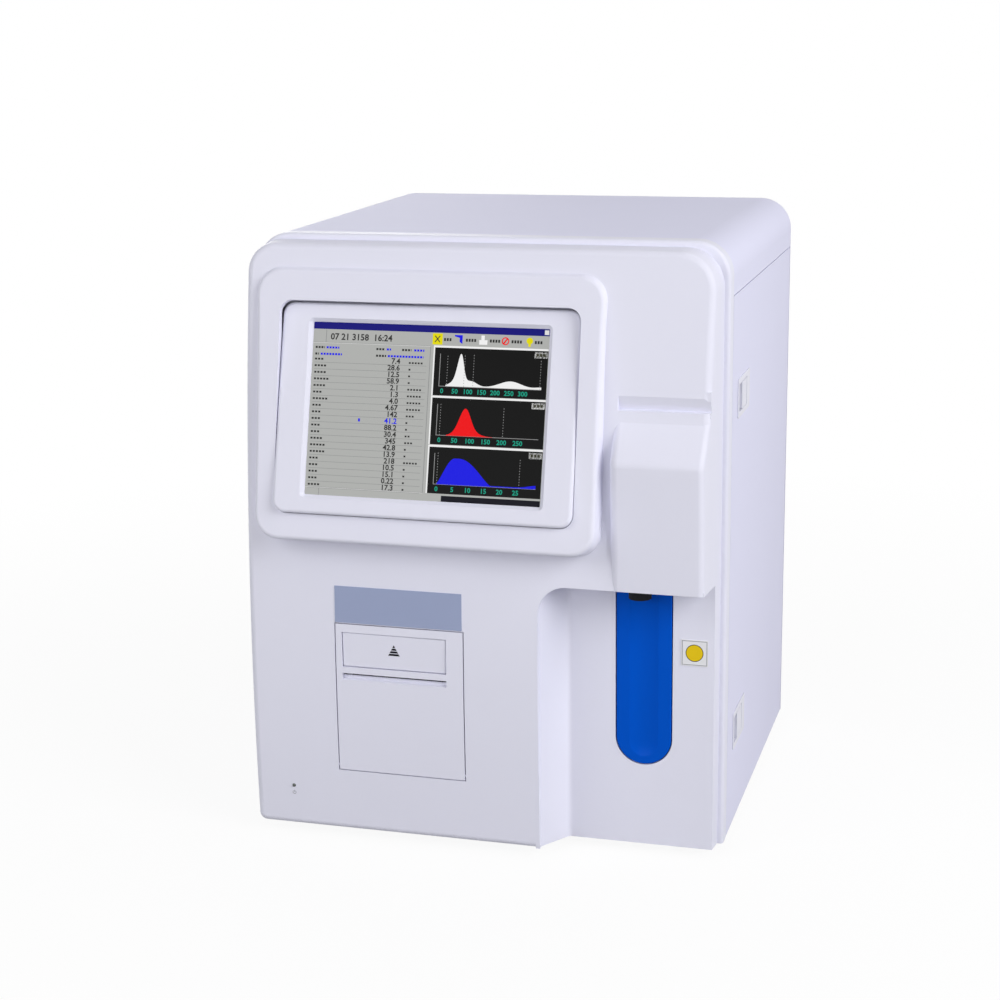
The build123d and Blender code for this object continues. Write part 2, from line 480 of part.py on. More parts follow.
def toothed_pulley(z, bore, shaft_r=0.0, shaft_end=0.0):
    """Small pulley with a toothed rim, flat across its faces."""
    width = PULLEY_Y1 - PULLEY_Y0
    wheel = rod("y", PULLEY_X, PULLEY_Y0, z, PULLEY_R, width)
    tooth = rod("y", PULLEY_X + PULLEY_R, PULLEY_Y0 - 1, z, 0.7, width + 2)
    for i in range(16):
        turn = Pos(PULLEY_X, 0, z) * Rot(0, 22.5 * i, 0) * Pos(-PULLEY_X, 0, -z)
        wheel -= turn * tooth
    if bore:
        wheel -= rod("y", PULLEY_X, PULLEY_Y0 - 1, z, bore, width + 2)
    if shaft_r:
        wheel += rod("y", PULLEY_X, PULLEY_Y0 - 2, z, shaft_r, shaft_end - PULLEY_Y0 + 2)
    return wheel


def lift_belt():
    """Toothed belt round both pulleys."""
    width = PULLEY_Y1 - PULLEY_Y0 - 1.5

    def loop(r, y0, length):
        band = block(PULLEY_X - r, PULLEY_X + r, y0, y0 + length, PULLEY_Z0, PULLEY_Z1)
        band += rod("y", PULLEY_X, y0, PULLEY_Z0, r, length)
        return band + rod("y", PULLEY_X, y0, PULLEY_Z1, r, length)

    inner = PULLEY_R + BELT_GAP
    y0 = PULLEY_Y0 + 0.75
    return loop(inner + BELT_T, y0, width) - loop(inner, y0 - 1, width + 2)


def stepper(cx, cy, cz, axis, size, length):
    """Square motor with cut corners; its front face is at the given point, the body behind it."""
    body = Box(size, size, length, align=(Align.CENTER, Align.CENTER, Align.MAX))
    body = chamfer(body.edges().filter_by(Axis.Z), 3.5)
    body += Cylinder(size * 0.26, 2, align=(Align.CENTER, Align.CENTER, Align.MIN))
    turn = {"z": Rot(0, 0, 0), "-y": Rot(90, 0, 0)}[axis]
    return Pos(cx, cy, cz) * turn * body


def lift_motor():
    """Motor of the probe lift, behind the chassis plate."""
    motor = stepper(PULLEY_X, CHASSIS_Y + PLATE, PULLEY_Z1, "-y", 35, 30)
    return motor - rod("y", PULLEY_X, -10, PULLEY_Z1, 2.5 + RUN, 26)


def front_chassis():
    """Steel plate that carries the printer, the key, the probe lift and the front moulding."""
    outline = cabinet_outline(3, CAB_H - 3, SHOULDER_R - 3, SHEET)
    plate = Pos(0, CHASSIS_Y + PLATE, 0) * extrude(Plane.XZ * outline, PLATE)
    w = PRINTER_WALL + DOOR_GAP
    plate -= block(DOOR_X0 - w, DOOR_X1 + w, 0, 10, DOOR_Z0 - w, DOOR_Z1 + w)
    plate -= block(RING_X0 + 34.7, RING_X1 - 28.6, 0, 10, RING_Z0 + 11, RING_Z1 - 24)
    plate -= rod("y", PULLEY_X, -5, PULLEY_Z1, 11, 15)
    return plate


def foot(spot):
    """Round rubber foot with a rim, its pin through the floor."""
    x, y = spot
    pad = rod("z", x, y, -FOOT_H, FOOT_R, FOOT_H)
    pad = chamfer(pad.faces().sort_by(Axis.Z)[0].edges(), 1.2)
    return pad + rod("z", x, y, 0, FOOT_PIN_R, SHEET)


def base_pan():
    """Folded floor tray, with upstands at the left, the right and the rear."""
    pan = block(-HALF_W + SHEET, HALF_W - 1.8, 0.5, REAR, 0, SHEET)
    pan += block(-HALF_W + SHEET, -HALF_W + 2 * SHEET, 5, REAR, SHEET, 18)
    pan += block(HALF_W - 13, HALF_W - 11.5, 5, REAR - 20.5, SHEET, 12)
    pan += block(-HALF_W + 2 * SHEET, HALF_W - 20, REAR - SHEET, REAR, SHEET, 18)
    for x in (-120, -60, 60, 110):
        for k in range(5):
            pan -= block(x - 16, x + 16, 90 + 14 * k, 94 + 14 * k, -1, 3)
    for x, y in FEET:
        pan -= rod("z", x, y, -1, FOOT_PIN_R, 4)
    return pan - block(HINGE_X - 6, HALF_W, HINGE_Y - 6, REAR + 1, -1, 3)


def top_cover():
    """Cabinet top with round shoulders, wrapped down a little way at both sides."""
    outer = cabinet_outline(0, CAB_H, SHOULDER_R)
    outer -= cabinet_outline(SHEET, CAB_H - SHEET, SHOULDER_R - SHEET, -1)
    shell = Pos(0, REAR, 0) * extrude(Plane.XZ * outer, REAR)
    return shell - block(-CAB_W, CAB_W, -10, CAB_D + 10, -10, SEAM_Z)


def left_panel():
    """Fixed left side, with a folded top edge."""
    panel = block(-HALF_W, -HALF_W + SHEET, 0, REAR, 0, SEAM_Z - 0.5)
    return panel + block(-HALF_W + SHEET, -HALF_W + 10, 6, REAR - 7.5, SEAM_Z - 2, SEAM_Z - 0.5)


def side_door():
    """Right side door with folded edges, latch cut-outs and two hinge lugs."""
    x0 = HALF_W - SHEET
    door = block(x0, HALF_W, SIDE_Y0, SIDE_Y1, SIDE_Z0, SIDE_Z1)
    fold_y = HINGE_Y - 8
    door += block(x0 - 6, x0, 10, fold_y, SIDE_Z0 + 1.4, SIDE_Z0 + 1.4 + SHEET)
    door += block(x0 - 6, x0, 10, fold_y, SIDE_Z1 - SHEET, SIDE_Z1)
    for z in LATCH_Z:
        half = LATCH_H / 2 - 1.5
        door -= block(x0 - 1, HALF_W + 1, LATCH_Y0 + 1.5, LATCH_Y1 - 1.5, z - half, z + half)
    for z in LUG_Z:
        door += block(HINGE_X - 3, x0, HINGE_Y - 4, SIDE_Y1, z, z + LUG_H)
        door -= rod("z", HINGE_X, HINGE_Y, z - 1, HINGE_R + RUN, LUG_H + 2)
    return door


def hinge_bracket(z_plate, z_pin):
    """Bracket on the rear panel, with the pin that enters a door lug."""
    x0, x1 = HALF_W - 20, HALF_W - 9
    plate = block(x0, x1, HINGE_Y - 8, REAR, z_plate, z_plate + BRACKET_T)
    plate += block(x1, HALF_W - 1.8, HINGE_Y - 5, HINGE_Y + 1, z_plate, z_plate + BRACKET_T)
    plate += block(x0, x1, REAR - 2, REAR, z_plate - 6, z_plate + 12)
    return plate + rod("z", HINGE_X, HINGE_Y, z_pin, HINGE_R, PIN_L)


def door_hinges():
    """Both hinge brackets, below the lower lug and above the upper one."""
    low, high = LUG_Z
    lower = hinge_bracket(low - BRACKET_T - 0.3, low - BRACKET_T - 0.3)
    upper = hinge_bracket(high + LUG_H + 0.3, high + LUG_H + 0.3 + BRACKET_T - PIN_L)
    return Compound(children=[lower, upper])


def latch_cup(z):
    """Flush cup of a door latch: a thin flange outside and a pocket behind it."""
    h = LATCH_H / 2
    x0, x1 = HALF_W - LATCH_DEPTH, HALF_W + LATCH_PROUD
    cup = block(HALF_W + 0.1, x1, LATCH_Y0, LATCH_Y1, z - h, z + h)
    cup = fillet(cup.edges().filter_by(Axis.X), 2)
    cup += block(x0, HALF_W + 0.1, LATCH_Y0 + 1.7, LATCH_Y1 - 1.7, z - h + 1.7, z + h - 1.7)
    cup -= block(x0 + 1.5, x1 + 1, LATCH_Y0 + 4, LATCH_Y1 - 12, z - h + 4, z + h - 4)
    return cup - rod("z", PADDLE_X, PADDLE_Y, z - h + 2.5, 1 + RUN, LATCH_H - 5)


def latch_paddle(z):
    """Paddle over the rear of the cup's pocket, on a pin at its rear edge."""
    h = LATCH_H / 2 - 4.4
    paddle = block(PADDLE_X - 1.2, HALF_W + LATCH_PROUD, LATCH_Y0 + 16, PADDLE_Y - 0.2, z - h, z + h)
    paddle += rod("z", PADDLE_X, PADDLE_Y, z - h, 1.2, 2 * h)
    return paddle + rod("z", PADDLE_X, PADDLE_Y, z - h - 1.6, 1, 2 * h + 3.2)


def partition():
    """Upright plate between the electronics on the left and the fluidics on the right."""
    plate = block(PARTITION_X, PARTITION_X + PLATE, CHASSIS_Y + PLATE, REAR - SHEET, SHEET, SEAM_Z + 6)
    for y, z in ((240, 120), (240, 280), (40, 372)):
        plate -= rod("x", PARTITION_X - 1, y, z, 11, 4)
    plate -= rod("x", PARTITION_X - 1, PUMP_Y, PUMP_Z, 6, 4)
    for y in (46, 244):
        for z in (76, 205, 334):
            hexagon = Plane(origin=(PARTITION_X - BOARD_GAP, y, z), z_dir=(1, 0, 0)) * RegularPolygon(3.2, 6)
            plate += extrude(hexagon, BOARD_GAP)
    return plate


def syringe_bracket():
    """Channel on the partition that holds the motor, the screw and both barrels."""
    x0 = PARTITION_X + PLATE
    plate = block(x0, x0 + 3, SYR_Y - 42, SYR_Y + 42, 14, 240)
    for z in (SYR_FLANGE_Z0, SYR_FLANGE_Z1):
        plate += block(x0 + 3, SYR_X + 24, SYR_Y - 42, SYR_Y + 42, z, z + SYR_FLANGE_T)
    plate -= rod("z", SYR_X, SYR_Y, SYR_FLANGE_Z0 - 1, 11.2, SYR_FLANGE_T + 2)
    plate -= rod("z", SYR_X, SYR_Y, SYR_FLANGE_Z1 - 1, SCREW_R + RUN, SYR_FLANGE_T + 2)
    for y in (SYR_Y - SYR_PITCH, SYR_Y + SYR_PITCH):
        plate -= rod("z", SYR_X, y, SYR_FLANGE_Z1 - 1, 4, SYR_FLANGE_T + 2)
    return plate


def syringe_motor():
    """Motor under the syringe bracket."""
    motor = stepper(SYR_X, SYR_Y, SYR_FLANGE_Z0, "z", 42, 40)
    return motor - rod("z", SYR_X, SYR_Y, SYR_FLANGE_Z0 - 6, 2.5 + RUN, 20)


def syringe_screw():
    """Lead screw, turned down at its lower end for the motor."""
    foot = SYR_FLANGE_Z0 + SYR_FLANGE_T
    screw = rod("z", SYR_X, SYR_Y, foot, SCREW_R, SYR_FLANGE_Z1 + 5 - foot)
    return screw + rod("z", SYR_X, SYR_Y, SYR_FLANGE_Z0 - 5, 2.5, 10)


def syringe_yoke():
    """Nut block that carries both plungers up and down the screw."""
    reach = SYR_PITCH + 8
    yoke = block(SYR_X - 14, SYR_X + 18, SYR_Y - reach, SYR_Y + reach, YOKE_Z, YOKE_Z + YOKE_T)
    yoke = fillet(yoke.edges().filter_by(Axis.Z), 4)
    return yoke - rod("z", SYR_X, SYR_Y, YOKE_Z - 1, SCREW_R + RUN, YOKE_T + 2)


def syringe_plunger(y):
    """Plunger rod with its piston, standing on the yoke."""
    stem = rod("z", SYR_X, y, YOKE_Z + YOKE_T, 3, PISTON_Z - YOKE_Z - YOKE_T)
    return stem + rod("z", SYR_X, y, PISTON_Z, BARREL_BORE - RUN, PISTON_T)


def syringe_barrel(y):
    """Glass barrel on the upper flange, with a nozzle at its top."""
    z0 = SYR_FLANGE_Z1 + SYR_FLANGE_T
    barrel = rod("z", SYR_X, y, z0, BARREL_R, BARREL_L) + rod("z", SYR_X, y, z0, BARREL_R + 3, 3)
    barrel += rod("z", SYR_X, y, z0 + BARREL_L, 3, 8)
    barrel -= rod("z", SYR_X, y, z0 - 1, BARREL_BORE, BARREL_L - 5)
    return barrel - rod("z", SYR_X, y, z0, 1.2, BARREL_L + 20)


def bath_bracket():
    """Shelf on the partition for the two counting baths."""
    x0 = PARTITION_X + PLATE
    shelf = block(x0, x0 + 3, BATH_Y[0] - 26, BATH_Y[1] + 26, BATH_Z - 30, BATH_Z + 70)
    shelf += block(x0 + 3, BATH_X + 24, BATH_Y[0] - 26, BATH_Y[1] + 26, BATH_Z - 3, BATH_Z)
    for y in BATH_Y:
        shelf -= rod("z", BATH_X, y, BATH_Z - 4, BATH_NECK_R, 5)
    return shelf


def counting_bath(y):
    """Clear cup with a funnel floor and a drain neck, where cells are counted."""
    half = [(0, BATH_Z - 16), (BATH_NECK_R, BATH_Z - 16), (BATH_NECK_R, BATH_Z), (BATH_R, BATH_Z),
            (BATH_R, BATH_Z + 56), (BATH_R - 2, BATH_Z + 56), (BATH_R - 2, BATH_Z + 12), (1.5, BATH_Z + 4),
            (0, BATH_Z + 4)]
    outline = make_face(Polyline(*half, close=True))
    cup = revolve(Plane.XZ * outline, Axis.Z)
    cup += rod("x", BATH_R - 1, 0, BATH_Z + 30, 4, 12)
    return Pos(BATH_X, y, 0) * cup


def solenoid_valves():
    """Row of pinch valves: square coils with round noses."""
    row = []
    x0 = PARTITION_X + PLATE
    for i in range(VALVE_COUNT):
        y = VALVE_Y0 + VALVE_PITCH * i
        coil = block(x0, x0 + 30, y - 9, y + 9, VALVE_Z - 10, VALVE_Z + 10)
        coil = fillet(coil.edges().filter_by(Axis.X), 2)
        nose = rod("x", x0 + 30, y, VALVE_Z, 7, 9)
        nose -= block(x0 + 33, x0 + 36, y - 8, y + 8, VALVE_Z - 8, VALVE_Z)
        row.append(coil + nose)
    return Compound(children=row)


def pump_motor():
    """Gear motor of the waste pump, on the electronics side of the partition."""
    body = rod("x", PARTITION_X - 48, PUMP_Y, PUMP_Z, 17, 48)
    return body + rod("x", PARTITION_X - 54, PUMP_Y, PUMP_Z, 3, 6)


def pump_head():
    """Round track of the roller pump, open towards the door."""
    x0 = PARTITION_X + PLATE
    head = rod("x", x0, PUMP_Y, PUMP_Z, PUMP_R, PUMP_T)
    head -= rod("x", x0 + 4, PUMP_Y, PUMP_Z, PUMP_R - 4, PUMP_T)
    head -= block(x0 + 5, x0 + PUMP_T + 1, PUMP_Y - 14, PUMP_Y + 14, PUMP_Z - PUMP_R - 1, PUMP_Z - 16)
    return head - rod("x", x0 - 1, PUMP_Y, PUMP_Z, 5, 8)


def pump_rotor():
    """Rotor with three rollers."""
    x0 = PARTITION_X + PLATE
    reach = PUMP_R - 6.2 - 2.0 - 0.4 - 4.5
    rotor = rod("x", x0 + 5, PUMP_Y, PUMP_Z, 6, 9) + rod("x", PARTITION_X + 0.1, PUMP_Y, PUMP_Z, 4, 6.5)
    for i in range(3):
        a = math.radians(90 + 120 * i)
        y, z = PUMP_Y + reach * math.cos(a), PUMP_Z + reach * math.sin(a)
        rotor += rod("x", x0 + 6, y, z, 4.5, 8)
        turned = Pos(x0 + 5.75, PUMP_Y, PUMP_Z) * Rot(120 * i, 0, 0)
        arm = turned * Pos(0, 0, reach / 2) * Box(1.5, 9, reach)
        rotor += arm
    return rotor


def waste_jar():
    """Round vacuum jar on the floor, with a screw cap."""
    jar = rod("z", JAR_X, JAR_Y, SHEET, JAR_R, 88)
    jar = fillet(jar.faces().sort_by(Axis.Z)[-1].edges(), 8)
    return jar + rod("z", JAR_X, JAR_Y, SHEET + 88, 20, 14)


def power_supply():
    """Closed power supply, with a folded perforated case."""
    x0, y0, y1 = -HALF_W + 12, 135, CAB_D - 33
    case = block(x0, x0 + 92, y0, y1, SHEET, 52)
    for k in range(9):
        case -= block(x0 + 8 + 9 * k, x0 + 12 + 9 * k, y0 + 15, y1 - 12, 50.5, 53)
    return case


def main_board():
    """Circuit board on spacers, with its tall connectors."""
    board = block(PARTITION_X - 9.6, PARTITION_X - 8, 40, 250, 70, CAB_H - 92)
    low = [(60, 90, 40, 10), (120, 90, 52, 10), (190, 100, 30, 30)]
    high = [(80, CAB_H - 122, 60, 8), (170, CAB_H - 132, 36, 36)]
    for y, z, w, h in low + high:
        board += block(PARTITION_X - 17, PARTITION_X - 9.6, y, y + w, z, z + h)
    return board - rod("x", PARTITION_X - 20, PUMP_Y, PUMP_Z, 20, 30)


def rear_panel():
    """Flat rear panel with the fan opening, the inlet, data sockets and fluid ports."""
    panel = Pos(0, CAB_D, 0) * extrude(Plane.XZ * cabinet_outline(0, CAB_H, SHOULDER_R), SHEET)
    panel -= rod("y", FAN_X, REAR - 1, FAN_Z, FAN_R + 1, 4)
    half_w, half_h = INLET_W / 2, INLET_H / 2
    panel -= block(
        INLET_X - half_w, INLET_X + half_w, REAR - 5, CAB_D + 3, INLET_Z - half_h, INLET_Z + half_h)
    for i in range(PORT_COUNT):
        panel -= rod("y", PORT_X + PORT_PITCH * i, REAR - 5, PORT_Z, PORT_NECK_R, 10)
    for x, w, h in DATA_PORTS:
        panel -= block(x - w / 2, x + w / 2, REAR - 5, CAB_D + 3, DATA_Z - h / 2, DATA_Z + h / 2)
    panel -= rod("y", EARTH_X, REAR - 5, EARTH_Z, 2, 10)
    for k in range(8):
        low = CAB_H - 102 + 7 * k
        panel -= block(HALF_W - 130, HALF_W - 50, REAR - 5, CAB_D + 3, low, low + 3)
    return panel


def fan_frame():
    """Square fan frame with a round throat and a four-armed motor mount."""
    half = FAN_SIZE / 2
    frame = block(FAN_X - half, FAN_X + half, REAR - FAN_T, REAR, FAN_Z - half, FAN_Z + half)
    frame = fillet(frame.edges().filter_by(Axis.Y), 4)
    frame -= rod("y", FAN_X, REAR - FAN_T - 1, FAN_Z, FAN_R + 1, FAN_T + 2)
    for turn in (45, 135):
        arm = Pos(FAN_X, REAR - FAN_T + 1.5, FAN_Z) * Rot(0, turn, 0) * Box(2 * FAN_R + 4, 3, 4)
        frame += arm
    frame += rod("y", FAN_X, REAR - FAN_T, FAN_Z, HUB_R, 3)
    return frame + rod("y", FAN_X, REAR - FAN_T + 2, FAN_Z, 2, 6)


def fan_rotor():
    """Fan hub with seven slanted blades."""
    y0 = REAR - FAN_T + 4
    rotor = rod("y", FAN_X, y0, FAN_Z, HUB_R, FAN_T - 7)
    rotor -= rod("y", FAN_X, y0 - 1, FAN_Z, 2 + RUN, 6)
    for i in range(7):
        blade = Pos(0, 0, (HUB_R + FAN_R) / 2 - 2) * Rot(0, 0, 38) * Box(22, 1.6, FAN_R - HUB_R - 2)
        rotor += Pos(FAN_X, y0 + 9, FAN_Z) * Rot(0, 360 / 7 * i, 0) * blade
    return rotor


def fan_guard():
    """Wire finger guard outside the rear panel."""
    y0 = CAB_D
    guard = Part()
    for r in (10, 19, 28, 37):
        guard += Pos(FAN_X, y0 + 2.2, FAN_Z) * Rot(90, 0, 0) * Torus(r, 0.9)
    for turn in (45, 135):
        guard += Pos(FAN_X, y0 + 0.9, FAN_Z) * Rot(0, turn, 0) * Box(FAN_SIZE * 1.22, 1.8, 1.8)
    return guard


def mains_inlet():
    """Appliance inlet with three blades, and the frame that also holds the switch."""
    w, h = INLET_W / 2, INLET_H / 2
    body = block(INLET_X - w, INLET_X + w, REAR - 25, CAB_D, INLET_Z - h, INLET_Z + h)
    flange = block(INLET_X - w - 3, INLET_X + w + 3, CAB_D, CAB_D + 2, INLET_Z - h - 3, INLET_Z + h + 3)
    body += fillet(flange.edges().filter_by(Axis.Y), 2)
    mouth = block(INLET_X - 12, INLET_X + 12, CAB_D - 14, CAB_D + 3, INLET_Z - 18, INLET_Z - 2)
    body -= chamfer(mouth.edges().filter_by(Axis.Y).group_by(Axis.Z)[0], 4)
    for x, z in ((-7, -11), (7, -11), (0, -7)):
        blade = Pos(INLET_X + x, CAB_D - 8.5, INLET_Z + z) * Box(2, 13, 5)
        body += blade
    low, high = ROCKER_Z - ROCKER_ROOM, ROCKER_Z + ROCKER_ROOM
    body -= block(INLET_X - 10, INLET_X + 10, CAB_D - 10, CAB_D + 3, low, high)
    return body - rod("x", INLET_X - 11, ROCKER_Y, ROCKER_Z, 1 + RUN, 22)


def power_rocker():
    """Rocker of the mains switch: a shallow V that tips about its middle."""
    t = math.radians(ROCKER_TIP / 2)
    w, reach = 9.6, 6.3
    points = [(ROCKER_Y - 3, ROCKER_Z - 4), (CAB_D + 0.4, ROCKER_Z - reach), (CAB_D + 0.8, ROCKER_Z),
              (CAB_D + 0.8 + 2 * reach * math.tan(t), ROCKER_Z + reach), (ROCKER_Y - 3, ROCKER_Z + 4)]
    body = side_profile(points, INLET_X - w, INLET_X + w)
    return body + rod("x", INLET_X - 10.8, ROCKER_Y, ROCKER_Z, 1, 21.6)


def fluid_ports():
    """Row of hose barbs for reagents and waste, through the rear panel."""
    ports = []
    for i in range(PORT_COUNT):
        x = PORT_X + PORT_PITCH * i
        barb = rod("y", x, REAR - 12, PORT_Z, PORT_NECK_R, 12 + SHEET)
        barb += rod("y", x, REAR - 3, PORT_Z, 7, 3) + rod("y", x, CAB_D, PORT_Z, 6.5, PORT_NUT)
        barb += rod("y", x, CAB_D + PORT_NUT, PORT_Z, PORT_R, PORT_L)
        ports.append(barb - rod("y", x, REAR - 20, PORT_Z, 1.2, 60))
    return Compound(children=ports)


def data_sockets():
    """Metal shells of the data sockets."""
    shells = []
    for x, w, h in DATA_PORTS:
        shell = block(x - w / 2, x + w / 2, REAR - 12, CAB_D + 0.8, DATA_Z - h / 2, DATA_Z + h / 2)
        half_w, half_h = w / 2 - 1, h / 2 - 1
        shell -= block(x - half_w, x + half_w, CAB_D - 8, CAB_D + 2, DATA_Z - half_h, DATA_Z + half_h)
        shells.append(shell + block(x - w / 4, x + w / 4, CAB_D - 9, CAB_D - 1, DATA_Z - 1, DATA_Z + 1))
    return Compound(children=shells)


def earth_post():
    """Earth stud with a nut on the rear panel."""
    nut = extrude(Plane(origin=(EARTH_X, CAB_D, EARTH_Z), z_dir=(0, 1, 0)) * RegularPolygon(4, 6), 3)
    return nut + rod("y", EARTH_X, REAR - 4, EARTH_Z, 2, 16)


def pair(make, values):
    """Like pieces in one node."""
    return Compound(children=[make(value) for value in values])


def build():
    """Every piece under the name of its node."""
    return {
        "front_cover": front_cover(),
        "screen_ring": screen_ring(),
        "screen_surround": screen_surround(),
        "display_panel": display_panel(),
        "label_plate": label_plate(),
        "bay_sticker": bay_sticker(),
        "power_lamp": power_lamp(),
        "printer_housing": printer_housing(),
        "printer_door": printer_door(),
        "release_button": release_button(),
        "platen_roller": platen_roller(),
        "print_head": print_head(),
        "paper_roll": paper_roll(),
        "aspirate_key": aspirate_key(),
        "key_guide": key_guide(),
        "key_spring": key_spring(),
        "probe_wiper": probe_wiper(),
        "sample_probe": sample_probe(),
        "probe_carriage": probe_carriage(),
        "guide_rods": guide_rods(),
        "probe_bracket": probe_bracket(),
        "drive_pulley": toothed_pulley(PULLEY_Z1, 0, 2.5, CHASSIS_Y + 10),
        "idler_pulley": toothed_pulley(PULLEY_Z0, 2.5 + RUN),
        "lift_belt": lift_belt(),
        "lift_motor": lift_motor(),
        "front_chassis": front_chassis(),
        "base_pan": base_pan(),
        "rubber_feet": pair(foot, FEET),
        "top_cover": top_cover(),
        "left_panel": left_panel(),
        "side_door": side_door(),
        "door_hinges": door_hinges(),
        "latch_cups": pair(latch_cup, LATCH_Z),
        "upper_latch_paddle": latch_paddle(LATCH_Z[0]),
        "lower_latch_paddle": latch_paddle(LATCH_Z[1]),
        "partition": partition(),
        "syringe_bracket": syringe_bracket(),
        "syringe_motor": syringe_motor(),
        "syringe_screw": syringe_screw(),
        "syringe_yoke": syringe_yoke(),
        "syringe_plungers": pair(syringe_plunger, SYR_PAIR),
        "syringe_barrels": pair(syringe_barrel, SYR_PAIR),
        "counting_baths": pair(counting_bath, BATH_Y),
        "bath_bracket": bath_bracket(),
        "solenoid_valves": solenoid_valves(),
        "pump_motor": pump_motor(),
        "pump_head": pump_head(),
        "pump_rotor": pump_rotor(),
        "waste_jar": waste_jar(),
        "power_supply": power_supply(),
        "main_board": main_board(),
        "rear_panel": rear_panel(),
        "fan_frame": fan_frame(),
        "fan_rotor": fan_rotor(),
        "fan_guard": fan_guard(),
        "mains_inlet": mains_inlet(),
        "power_rocker": power_rocker(),
        "fluid_ports": fluid_ports(),
        "data_sockets": data_sockets(),
        "earth_post": earth_post(),
    }


os.makedirs("parts", exist_ok=True)
for name, shape in build().items():
    export_step(Pos(-LATCH_PROUD / 2, -BODY_MID_Y, FOOT_H) * shape, f"parts/{name}.step")
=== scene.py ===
"""Benchtop blood cell analyser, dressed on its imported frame: pale moulded front, painted steel
cabinet, lit screen, blue start key. Metres, +Z up, +Y to the back."""
import bpy
import math
import numpy as np
from mathutils import Matrix, Vector
from mathutils.bvhtree import BVHTree


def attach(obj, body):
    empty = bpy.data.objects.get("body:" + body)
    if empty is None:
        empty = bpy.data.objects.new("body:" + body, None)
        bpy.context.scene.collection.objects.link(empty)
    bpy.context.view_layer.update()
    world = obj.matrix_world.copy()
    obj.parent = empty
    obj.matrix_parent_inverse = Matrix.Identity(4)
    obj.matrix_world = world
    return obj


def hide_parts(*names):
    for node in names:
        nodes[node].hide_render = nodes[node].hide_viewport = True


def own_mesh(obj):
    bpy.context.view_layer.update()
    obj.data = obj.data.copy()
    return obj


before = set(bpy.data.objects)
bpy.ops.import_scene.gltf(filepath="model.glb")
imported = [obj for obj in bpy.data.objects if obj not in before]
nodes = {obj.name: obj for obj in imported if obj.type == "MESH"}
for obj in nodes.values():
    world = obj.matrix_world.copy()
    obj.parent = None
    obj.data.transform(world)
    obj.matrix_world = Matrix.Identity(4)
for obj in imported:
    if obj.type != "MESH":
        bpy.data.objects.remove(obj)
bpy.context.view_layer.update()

# Camera, where the photographer stood: in front, a little to the right and above, looking
# down at the machine with a short telephoto lens.
CAMERA_PLACE = Vector((0.389841, -1.462365, 0.601633))
CAMERA_YAW, CAMERA_PITCH, CAMERA_ROLL = (math.radians(a) for a in (15.97417, 14.12137, 0.7846))
CAMERA_LENS = 72.785

forward = Vector((
    -math.sin(CAMERA_YAW) * math.cos(CAMERA_PITCH),
    math.cos(CAMERA_YAW) * math.cos(CAMERA_PITCH),
    -math.sin(CAMERA_PITCH)))
level = Vector((math.cos(CAMERA_YAW), math.sin(CAMERA_YAW), 0.0))
below = forward.cross(level)
right = level * math.cos(CAMERA_ROLL) + below * math.sin(CAMERA_ROLL)
down = below * math.cos(CAMERA_ROLL) - level * math.sin(CAMERA_ROLL)
camera = bpy.data.objects.new("camera", bpy.data.cameras.new("camera"))
camera.data.lens = CAMERA_LENS
camera.data.clip_end = 50.0
turned = Matrix((right, -down, -forward)).transposed().to_4x4()
camera.matrix_world = Matrix.Translation(CAMERA_PLACE) @ turned
bpy.context.scene.collection.objects.link(camera)
bpy.context.scene.camera = camera
bpy.context.scene.view_settings.view_transform = "Standard"


# Studio: a white floor that runs far back, a strong soft box at the right, a weaker one at the
# left, small ones low in front and high behind, one for the rear face, and a faint even surround.
FLOOR_REACH = 40.0
FLOOR_BOUNCE, FLOOR_SEEN = 0.42, 0.54
FADE_NEAR, FADE_FAR, WHITE_NEAR, WHITE_FAR = 0.3, 1.1, 0.92, 1.0
SOFT_BOXES = (
    ("left_box", (-1.7, -1.9, 1.5), 1.6, 28.0), ("right_box", (2.1, -1.0, 1.3), 1.6, 53.0),
    ("low_box", (-0.4, -2.4, 0.5), 1.2, 11.0), ("rear_box", (0.3, 1.2, 2.2), 1.6, 11.0),
    ("back_box", (-1.5, 2.3, 0.7), 1.6, 26.0))
LAMP_AIM = Vector((0.0, 0.0, 0.22))
SKY_LIGHT = 0.03


def soft_box(name, place, size, power):
    """Square area lamp that faces the middle of the machine."""
    lamp = bpy.data.lights.new(name, "AREA")
    lamp.shape = "SQUARE"
    lamp.size = size
    lamp.energy = power
    holder = bpy.data.objects.new(name, lamp)
    turn = (LAMP_AIM - Vector(place)).to_track_quat("-Z", "Y")
    holder.matrix_world = Matrix.Translation(place) @ turn.to_matrix().to_4x4()
    bpy.context.scene.collection.objects.link(holder)


def reckon(tree, operation, *inputs):
    """Math node of one operation; each input is a plain float or the socket it comes from."""
    node = tree.nodes.new("ShaderNodeMath")
    node.operation = operation
    for socket, given in zip(node.inputs, inputs):
        if isinstance(given, float):
            socket.default_value = given
        else:
            tree.links.new(given, socket)
    return node.outputs[0]


def seen_rays(tree):
    """1 for the rays of the camera, a gloss or a glass, and 0 for the others."""
    path = tree.nodes.new("ShaderNodeLightPath")
    seen = path.outputs["Is Camera Ray"]
    for ray in ("Is Glossy Ray", "Is Transmission Ray"):
        seen = reckon(tree, "MAXIMUM", seen, path.outputs[ray])
    return seen


def white_to_camera(tree, shader, share):
    """Mixes plain white over a shader by a share, for the rays of the camera, a gloss or a glass."""
    part = reckon(tree, "MULTIPLY", seen_rays(tree), share)
    white = tree.nodes.new("ShaderNodeEmission")
    mix = tree.nodes.new("ShaderNodeMixShader")
    tree.links.new(part, mix.inputs[0])
    tree.links.new(shader, mix.inputs[1])
    tree.links.new(white.outputs[0], mix.inputs[2])
    return mix.outputs[0]


